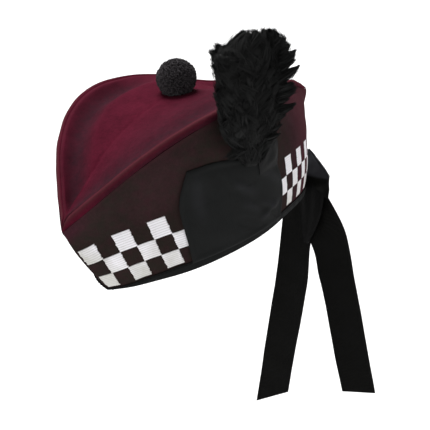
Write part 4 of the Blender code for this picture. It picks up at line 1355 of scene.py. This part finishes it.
def make_plume_body(material):
    """The closed body inside the plume, which keeps light from passing between the barbs."""
    levels = np.concatenate([np.linspace(0, 0.9 * PLUME_TALL, 44),
                             np.linspace(0.91 * PLUME_TALL, 0.985 * PLUME_TALL, 8)])[:, None]
    turns = (2 * math.pi * np.arange(PLUME_TURNS) / PLUME_TURNS)[None, :]
    levels, turns = np.broadcast_arrays(levels, turns)
    spot = plume_point(levels, turns, 1.0)
    close = 0.95 + 0.030 * ripple(spot, 0.010, 21) + 0.02 * ripple(spot, 0.004, 22)
    body = plume_point(levels, turns, close) - np.array([0, 0, 1.5 * MM])
    rows, cols = body.shape[:2]
    foot = rows * cols
    ends = body[[0, -1]].mean(axis=1)
    triangles = np.concatenate([fan(0, cols, foot)[:, ::-1], fan(foot - cols, cols, foot + 1)])
    core = Pile()
    core.add(np.concatenate([body.reshape(-1, 3), ends]), tube_quads(rows, cols), triangles,
             tone=np.full(foot + 2, 0.3))
    core.piece("plume_body", material, "feather", ("plume",))


def make_locks(material, chance, look):
    """Rings of locks all round the plume, from its foot to its top."""
    half = LOCK_RINGS // 2
    for name, first, last in (("plume_locks_low", 0, half), ("plume_locks_high", half, LOCK_RINGS)):
        locks = Pile()
        for ring in range(first, last):
            up = 5 + (PLUME_TALL - 6) * ring / (LOCK_RINGS - 1)
            around = LOCKS_ROUND if up > FOOT_TALL else LOCKS_AT_FOOT
            for n in range(around):
                angle = 2 * math.pi * (n + 0.5 * (ring % 2) + chance.uniform(-0.25, 0.25)) / around
                add_lock(locks, chance, up, angle, look)
        locks.piece(name, material, "feather", ("plume",), sharp=40)


def make_tufts(material, chance, look):
    """The tufts of barbs that break the plume's outline."""
    tufts = Pile()
    right = np.array([CAMERA_RIGHT[0], CAMERA_RIGHT[1], 0])
    root = plume_root()
    heart = root + np.array([-PLUME_LEAN, -PLUME_LEAN, 0])
    heart = heart - right * ((heart - root) @ right)
    flat = np.array([1.0, 1.0, 0.8])
    for tip_right, tip_up, foot_right, foot_up, spread, blunt, number in TUFTS:
        tip = heart + right * tip_right * MM + np.array([0, 0, tip_up * MM])
        foot = heart + right * foot_right * MM + np.array([0, 0, foot_up * MM])
        bend = foot * 0.45 + tip * 0.55 - np.array([0, 0, 0.9 * MM])
        scatter = chance.normal(size=(3, number, 3))
        roots = foot + scatter[0] * spread * flat * MM
        bends = bend + scatter[0] * (0.5 * spread + 0.3 * blunt) * flat * MM + scatter[1] * 0.4 * MM
        reach = 1 - 0.45 * chance.uniform(0, 1, (number, 1)) ** 1.6
        tips = bends + (tip + scatter[2] * blunt * MM - bends) * reach
        widths = look.barb * chance.uniform(0.8, 1.5, number)
        add_blades(tufts, roots, bends, tips, widths, chance.uniform(0, 1, number))
    tufts.piece("plume_tufts", material, "feather", ("plume",), sharp=40)


def make_plume():
    look = bpy.context.scene.glengarry_plume
    material = feather_finish("black_feather", look.black)
    chance = np.random.default_rng(look.seed)
    make_plume_body(material)
    make_locks(material, chance, look)
    make_tufts(material, chance, look)


def add_lock(pile, chance, up, angle, look):
    """A clump of barbs that rises close along the plume's body and curls over at its end."""
    number = look.barbs
    curl = chance.normal(0, 0.22)
    reach = chance.uniform(0.97, 1.06)
    start = plume_point(max(up - chance.uniform(7, 11), 0), angle - curl, 0.72)
    bend = plume_point(up, angle, 1.12 * reach)
    tip_up = min(up + chance.uniform(0.5, 4.0), 100)
    tip = plume_point(tip_up, angle + curl, reach * chance.uniform(0.95, 1.02))
    scatter = chance.normal(size=(3, number, 3))
    roots = start + scatter[0] * 1.7 * MM
    bends = bend + scatter[0] * 1.2 * MM + scatter[1] * 0.5 * MM
    tips = tip + scatter[0] * 0.8 * MM + scatter[2] * 0.6 * MM
    roots[:, 2] = np.maximum(roots[:, 2], plume_root()[2] + 0.5 * MM)
    widths = look.barb * chance.uniform(0.7, 1.4, number)
    tones = np.clip(chance.normal(chance.uniform(0.3, 0.7), 0.15, number), 0, 1)
    add_blades(pile, roots, bends, tips, widths, tones)


# One end of yarn: its width at shares of its length, points round it, and how domed its cut end is
YARN_ROWS = ((0.0, 0.8), (0.70, 1.0), (0.93, 1.05), (1.0, 0.62))
YARN_SIDES = 5
YARN_DOME = 1.015
# Shares of the toorie's radius where the yarn starts, where it ends, and the ball inside it
YARN_ROOT = 0.72
YARN_END = 0.985
BALL = 0.88
# Height of the flat sole that rests in the crease, from the toorie's middle, and how softly the yarn meets it
TOORIE_SOLE = TOORIE_SINK - TOORIE_RADIUS + 0.8 * TOORIE_SEAT
SOLE_ROUND = 0.0002


def make_toorie_yarn(material, look, middle):
    """Cut ends of yarn all round, none of which goes below the sole."""
    chance = np.random.default_rng(look.seed)
    root = TOORIE_RADIUS * YARN_ROOT
    number = look.tufts
    k = np.arange(number) + 0.5
    up = 1 - 2 * k / number
    flat = np.sqrt(1 - up * up)
    golden = math.pi * (3 - math.sqrt(5)) * k
    ways = np.stack([np.cos(golden) * flat, np.sin(golden) * flat, up], -1)
    ways = unit(ways + chance.normal(0, 0.035, ways.shape))
    lean = unit(ways + chance.normal(0, 0.16, ways.shape))
    uneven = 0.045 * chance.uniform(-1, 1, (number, 1)) + 0.02 * ripple(ways, 0.9, 31)[:, None]
    ends = TOORIE_RADIUS * (YARN_END + uneven)
    aside = unit(np.cross(lean, np.array([0.3, 0.2, 0.9])))
    over = np.cross(lean, aside)
    width = look.yarn * chance.uniform(0.75, 1.2, (number, 1))
    shapes = []
    for share_out, wide in YARN_ROWS:
        centre = ways * root + lean * (ends - root) * share_out
        for n in range(YARN_SIDES):
            angle = 2 * math.pi * n / YARN_SIDES
            shapes.append(centre + (aside * math.cos(angle) + over * math.sin(angle)) * width / 2 * wide)
    shapes.append(ways * root + lean * (ends - root) * YARN_DOME)
    tip = len(YARN_ROWS) * YARN_SIDES
    triangles = np.concatenate([fan(tip - YARN_SIDES, YARN_SIDES, tip),
                                [(0, n + 1, n) for n in range(1, YARN_SIDES - 1)]])
    shapes = np.stack(shapes, 1) * np.array([1.03, 1.03, 1.0])
    above = np.maximum(0, shapes[..., 2] - TOORIE_SOLE)
    rounded = TOORIE_SOLE + SOLE_ROUND * np.tanh(above / SOLE_ROUND)
    shapes[..., 2] = np.maximum(shapes[..., 2], rounded)
    yarn = Pile()
    tones = chance.uniform(0, 1, number)
    yarn.add_copies(tilt(shapes + middle), tube_quads(len(YARN_ROWS), YARN_SIDES), triangles, tone=tones)
    yarn.piece("toorie_yarn", material, "wool", ("toorie",), sharp=50)


def make_toorie_ball(material, middle):
    """The uneven ball inside the yarn, which keeps light from passing between its ends."""
    build = bmesh.new()
    bmesh.ops.create_icosphere(build, subdivisions=4, radius=TOORIE_RADIUS * BALL)
    points = np.array([vert.co[:] for vert in build.verts])
    triangles = np.array([[vert.index for vert in face.verts] for face in build.faces])
    build.free()
    points[:, 2] = np.maximum(points[:, 2], TOORIE_SOLE + 2 * SOLE_ROUND)
    points = points * (1 + 0.015 * ripple(points, 0.006, 33))[:, None]
    ball = Pile()
    ball.add(tilt(points + middle), (), triangles, tone=np.full(len(points), 0.1))
    ball.piece("toorie_ball", material, "wool", ("toorie",))


def make_toorie():
    look = bpy.context.scene.glengarry_toorie
    material = wool_finish("black_wool", look.black)
    ridge = ridge_ring(TOORIE_PLACE)
    middle = np.array([ridge[0], 0, ridge[2] - CREASE_DEPTH + (TOORIE_RADIUS + GAP - TOORIE_SINK)])
    make_toorie_yarn(material, look, middle)
    make_toorie_ball(material, middle)


def hung_ribbon(name, node, length, edges, place, seed, material, pale=0.0):
    """A ribbon that hangs behind the cap at this place along it, between a right and a left edge."""
    look = bpy.context.scene.glengarry_ribbon
    down = np.linspace(0, 1, int(length / (look.rib / 4)))
    right_y, right_z, left_y, left_z = (
        read(edges, TAIL_COLUMNS, column, down)[:, None] * MM for column in TAIL_COLUMNS[1:])
    shares = np.linspace(0, 1, 17)[None, :]
    y = left_y * (1 - shares) + right_y * shares
    z = left_z * (1 - shares) + right_z * shares
    hung = np.broadcast_to(down[:, None] * length, y.shape)
    from_middle = 2 * shares - 1
    # Pleated under the bow, then wavy further down, and cupped across its width.
    pleats = 0.7 * MM * hump(hung, 0, 0.035) * np.cos(2.5 * math.pi * from_middle)
    spot = np.stack(np.broadcast_arrays(hung, 0.3 * from_middle * TAIL_WIDTH), -1)
    wave = 0.45 * ripple(spot, 0.090, seed) + 0.12 * ripple(spot, 0.030, seed + 7)
    wave = wave * MM * ease(hung / (0.5 * length))
    cup = 0.4 * MM * from_middle ** 2 * ease(hung / 0.05)
    x = place + pleats + wave - cup
    ribs = look.rib_relief * np.cos(2 * math.pi * hung / look.rib)
    selvedge = 0.12 * MM * (np.abs(from_middle) > 0.90)
    half = look.thickness / 2 + ribs + selvedge
    pile = Pile()
    notes = np.stack(np.broadcast_arrays(hung, from_middle * TAIL_WIDTH / 2, 0 * hung), -1)
    faces = [np.stack([x + side * half, y, z], -1) for side in (1, -1)]
    pile.shell(*faces, cloth=notes, pale=pale + 0 * hung)
    return pile.piece(name, material, "ribbon", (node,), sharp=80)


def make_tails():
    look = bpy.context.scene.glengarry_ribbon
    material = ribbon_finish("tail_ribbon", look.black, 0.46, look.rib)
    for name, node, length, edges, seed in (
            ("ribbon_tail_left", "tail_left", LEFT_TAIL, LEFT_TAIL_EDGES, 41),
            ("ribbon_tail_right", "tail_right", RIGHT_TAIL, RIGHT_TAIL_EDGES, 42)):
        low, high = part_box(node)
        item = hung_ribbon(name, node, length, edges, (low[0] + high[0]) / 2, seed, material)
    low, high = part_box("tail_left")
    place = low[0] - 1.6 * MM
    # The tongue is painted a little paler: painted light.
    tongue = hung_ribbon("bow_tongue", "rear_bow", TONGUE_LENGTH, TONGUE_EDGES, place, 43, material, 0.07)


def make_bow():
    look = bpy.context.scene.glengarry_ribbon
    # The bow is the tails' ribbon painted half again lighter: painted light.
    material = ribbon_finish("bow_ribbon", scaled(look.black, 1.5), 0.40, look.rib)
    low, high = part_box("rear_bow")
    middle = (low[0] + high[0]) / 2
    angles = 2 * math.pi * np.arange(BOW_TURNS) / BOW_TURNS
    c = np.cos(angles)
    s = np.sin(angles)
    aside = np.sign(c) * np.abs(c) ** 0.8
    # The loops are flat and pinched at the knot, where the ribbon reaches down over the tails' tops.
    pinch = 0.55 + 0.45 * np.minimum(1, np.abs(aside) * 2)
    top = BOW_TOP - 1.1 * MM - BOW_DROP * np.abs(aside)
    fall = BOW_HEIGHT + BOW_OVER_TAILS * hump(aside, 0, 0.24)
    ups = np.linspace(0, 1, 21)
    z = top[:, None] - fall[:, None] * (1 - ups[None, :])
    # They are creased across: above the crease they lean back and catch the light.
    lean = 0.30 * np.maximum(0, z - BOW_CREASE)
    faces = []
    for inset in (0, look.thickness):
        y = aside * (BOW_HALF - inset)
        x = middle + np.sign(s) * np.sqrt(np.abs(s)) * (BOW_DEPTH / 2 * pinch - inset)
        swell = 0.3 * MM * ripple(np.stack(np.broadcast_arrays(y[:, None], z), -1), 0.014, 51)
        faces.append(np.stack(np.broadcast_arrays(x[:, None] + lean + swell, y[:, None], z), -1))
    outer, inner = faces
    rows = np.concatenate([outer, inner[:, ::-1]], axis=1)
    run, height = np.broadcast_arrays((angles * BOW_HALF)[:, None],
                                      np.concatenate([ups, ups[::-1]])[None, :] * BOW_HEIGHT)
    pile = Pile()
    # Painted light: above the crease the ribbon is painted paler, where it catches the light.
    pale = 0.95 * rising(rows[..., 2], BOW_CREASE - 1.5 * MM, 1.6 * MM)
    pile.ring(rows, cloth=np.stack([run, height, 0 * run], -1), pale=pale)
    item = pile.piece("bow_loops", material, "ribbon", ("rear_bow",))


# How far the floor reaches, where the light's object stands, and the upward shares between which the surround
# dims from the horizon to overhead
FLOOR_REACH = 60.0
LIGHT_HEIGHT = 1.5
HORIZON = 0.10
OVERHEAD = 0.35


def make_floor(scene, look):
    mesh = bpy.data.meshes.new("studio_floor")
    corners = ((-1, -1), (1, -1), (1, 1), (-1, 1))
    points = [(x * FLOOR_REACH, y * FLOOR_REACH, look.floor_level) for x, y in corners]
    mesh.from_pydata(points, [], [(0, 1, 2, 3)])
    floor = bpy.data.objects.new("studio_floor", mesh)
    scene.collection.objects.link(floor)
    made = Finish("studio_paper")
    grain = made.noise(0.004, 3.0, 0.6)
    made.set(Base_Color=made.blend(grain, scaled(look.floor, 0.97), look.floor), Roughness=0.85,
             Specular_IOR_Level=0.10)
    mesh.materials.append(made.material)


def make_surround(scene, look):
    """A pale surround, dimmer overhead than at the horizon."""
    world = bpy.data.worlds.new("pale_surround")
    world.use_nodes = True
    made = Nodes(world.node_tree)
    way = made.add("ShaderNodeTexCoord", {}, {}, "Generated")
    up = made.add("ShaderNodeSeparateXYZ", {}, {0: way}, 2)
    strength = made.add("ShaderNodeMapRange", {}, {
        "Value": up, "From Min": HORIZON, "From Max": OVERHEAD, "To Min": 1.0, "To Max": look.sky})
    background = made.tree.nodes["Background"]
    made.feed(background.inputs["Color"], (1.0, 1.0, 1.0))
    made.feed(background.inputs["Strength"], strength)
    scene.world = world


def make_light(scene, look):
    lamp = bpy.data.lights.new("soft_main_light", "SUN")
    lamp.energy = look.key
    lamp.angle = look.softness
    light = bpy.data.objects.new("soft_main_light", lamp)
    back = unit(np.array(look.key_way[:]))
    right = unit(np.cross([0, 1, 0], back))
    light.matrix_world = frame_of((0, 0, LIGHT_HEIGHT), right, np.cross(back, right), back)
    scene.collection.objects.link(light)


def make_camera(scene):
    camera = bpy.data.cameras.new("camera")
    camera.sensor_width = SENSOR_MM
    camera.lens = LENS_MM
    camera.shift_x, camera.shift_y = PICTURE_SHIFT
    camera.clip_end = 100
    eye = bpy.data.objects.new("camera", camera)
    eye.matrix_world = frame_of(CAMERA_PLACE, CAMERA_RIGHT, CAMERA_UP, CAMERA_BACK)
    scene.collection.objects.link(eye)
    scene.camera = eye


def make_stage():
    scene = bpy.context.scene
    look = scene.glengarry_stage
    scene.view_settings.view_transform = "Standard"
    make_floor(scene, look)
    make_surround(scene, look)
    make_light(scene, look)
    make_camera(scene)


def frame_of(place, right, up, back):
    """Matrix of something that stands here and looks away from its back."""
    return Matrix([[right[i], up[i], back[i], place[i]] for i in range(3)] + [[0, 0, 0, 1]])


class GLENGARRY_OT_sides(bpy.types.Operator):
    """Make the two felt sides"""

    bl_idname = "glengarry.sides"
    bl_label = "Felt sides"

    def execute(self, context):
        make_sides()
        return {"FINISHED"}


class GLENGARRY_OT_crown(bpy.types.Operator):
    """Make the felt crown with its ridges, grooves and crease"""

    bl_idname = "glengarry.crown"
    bl_label = "Felt crown"

    def execute(self, context):
        make_crown()
        return {"FINISHED"}


class GLENGARRY_OT_binding(bpy.types.Operator):
    """Make the ribbon binding round the rim and its stitching"""

    bl_idname = "glengarry.binding"
    bl_label = "Rim binding"

    def execute(self, context):
        make_binding()
        make_stitching()
        return {"FINISHED"}


class GLENGARRY_OT_dicing(bpy.types.Operator):
    """Make the white squares of the diced band"""

    bl_idname = "glengarry.dicing"
    bl_label = "Dicing"

    def execute(self, context):
        make_dicing()
        return {"FINISHED"}


class GLENGARRY_OT_patch(bpy.types.Operator):
    """Make the ribbon patch and the fan of ribbon beside the plume"""

    bl_idname = "glengarry.patch"
    bl_label = "Ribbon patch"

    def execute(self, context):
        make_patch()
        make_fan()
        return {"FINISHED"}


class GLENGARRY_OT_plume(bpy.types.Operator):
    """Make the feather plume"""

    bl_idname = "glengarry.plume"
    bl_label = "Plume"

    def execute(self, context):
        make_plume()
        return {"FINISHED"}


class GLENGARRY_OT_toorie(bpy.types.Operator):
    """Make the wool pompom on the crown"""

    bl_idname = "glengarry.toorie"
    bl_label = "Toorie"

    def execute(self, context):
        make_toorie()
        return {"FINISHED"}


class GLENGARRY_OT_rear_ribbons(bpy.types.Operator):
    """Make the bow and the two tails at the back"""

    bl_idname = "glengarry.rear_ribbons"
    bl_label = "Bow and tails"

    def execute(self, context):
        make_bow()
        make_tails()
        return {"FINISHED"}


class GLENGARRY_OT_stage(bpy.types.Operator):
    """Make the floor, the light and the camera"""

    bl_idname = "glengarry.stage"
    bl_label = "Floor, light and camera"

    def execute(self, context):
        make_stage()
        return {"FINISHED"}


class GLENGARRY_PT_panel(bpy.types.Panel):
    bl_label = "Glengarry"
    bl_idname = "GLENGARRY_PT_panel"
    bl_space_type = "VIEW_3D"
    bl_region_type = "UI"
    bl_category = "Glengarry"

    def draw(self, context):
        for label, steps, title in PANEL_ROWS:
            box = self.layout.box()
            box.label(text=label)
            settings = getattr(context.scene, title)
            for name in settings.__annotations__:
                box.prop(settings, name)
            for step in steps:
                box.operator(step.bl_idname)


PANEL_ROWS = (
    ("Felt", (GLENGARRY_OT_sides, GLENGARRY_OT_crown), "glengarry_felt"),
    ("Dicing", (GLENGARRY_OT_dicing,), "glengarry_dicing"),
    ("Ribbon", (GLENGARRY_OT_binding, GLENGARRY_OT_patch, GLENGARRY_OT_rear_ribbons), "glengarry_ribbon"),
    ("Plume", (GLENGARRY_OT_plume,), "glengarry_plume"),
    ("Toorie", (GLENGARRY_OT_toorie,), "glengarry_toorie"),
    ("Stage", (GLENGARRY_OT_stage,), "glengarry_stage"),
)
SETTINGS = {
    "glengarry_felt": FeltSettings,
    "glengarry_dicing": DicingSettings,
    "glengarry_ribbon": RibbonSettings,
    "glengarry_plume": PlumeSettings,
    "glengarry_toorie": ToorieSettings,
    "glengarry_stage": StageSettings,
}


def register():
    for title, settings in SETTINGS.items():
        bpy.utils.register_class(settings)
        setattr(bpy.types.Scene, title, bpy.props.PointerProperty(type=settings))
    for _, steps, _ in PANEL_ROWS:
        for step in steps:
            bpy.utils.register_class(step)
    bpy.utils.register_class(GLENGARRY_PT_panel)


def unregister():
    bpy.utils.unregister_class(GLENGARRY_PT_panel)
    for _, steps, _ in PANEL_ROWS:
        for step in steps:
            bpy.utils.unregister_class(step)
    for title, settings in SETTINGS.items():
        delattr(bpy.types.Scene, title)
        bpy.utils.unregister_class(settings)


def main():
    register()
    bpy.ops.glengarry.sides()
    bpy.ops.glengarry.crown()
    bpy.ops.glengarry.binding()
    bpy.ops.glengarry.dicing()
    bpy.ops.glengarry.patch()
    bpy.ops.glengarry.plume()
    bpy.ops.glengarry.toorie()
    bpy.ops.glengarry.rear_ribbons()
    bpy.ops.glengarry.stage()


if __name__ == "__main__":
    main()
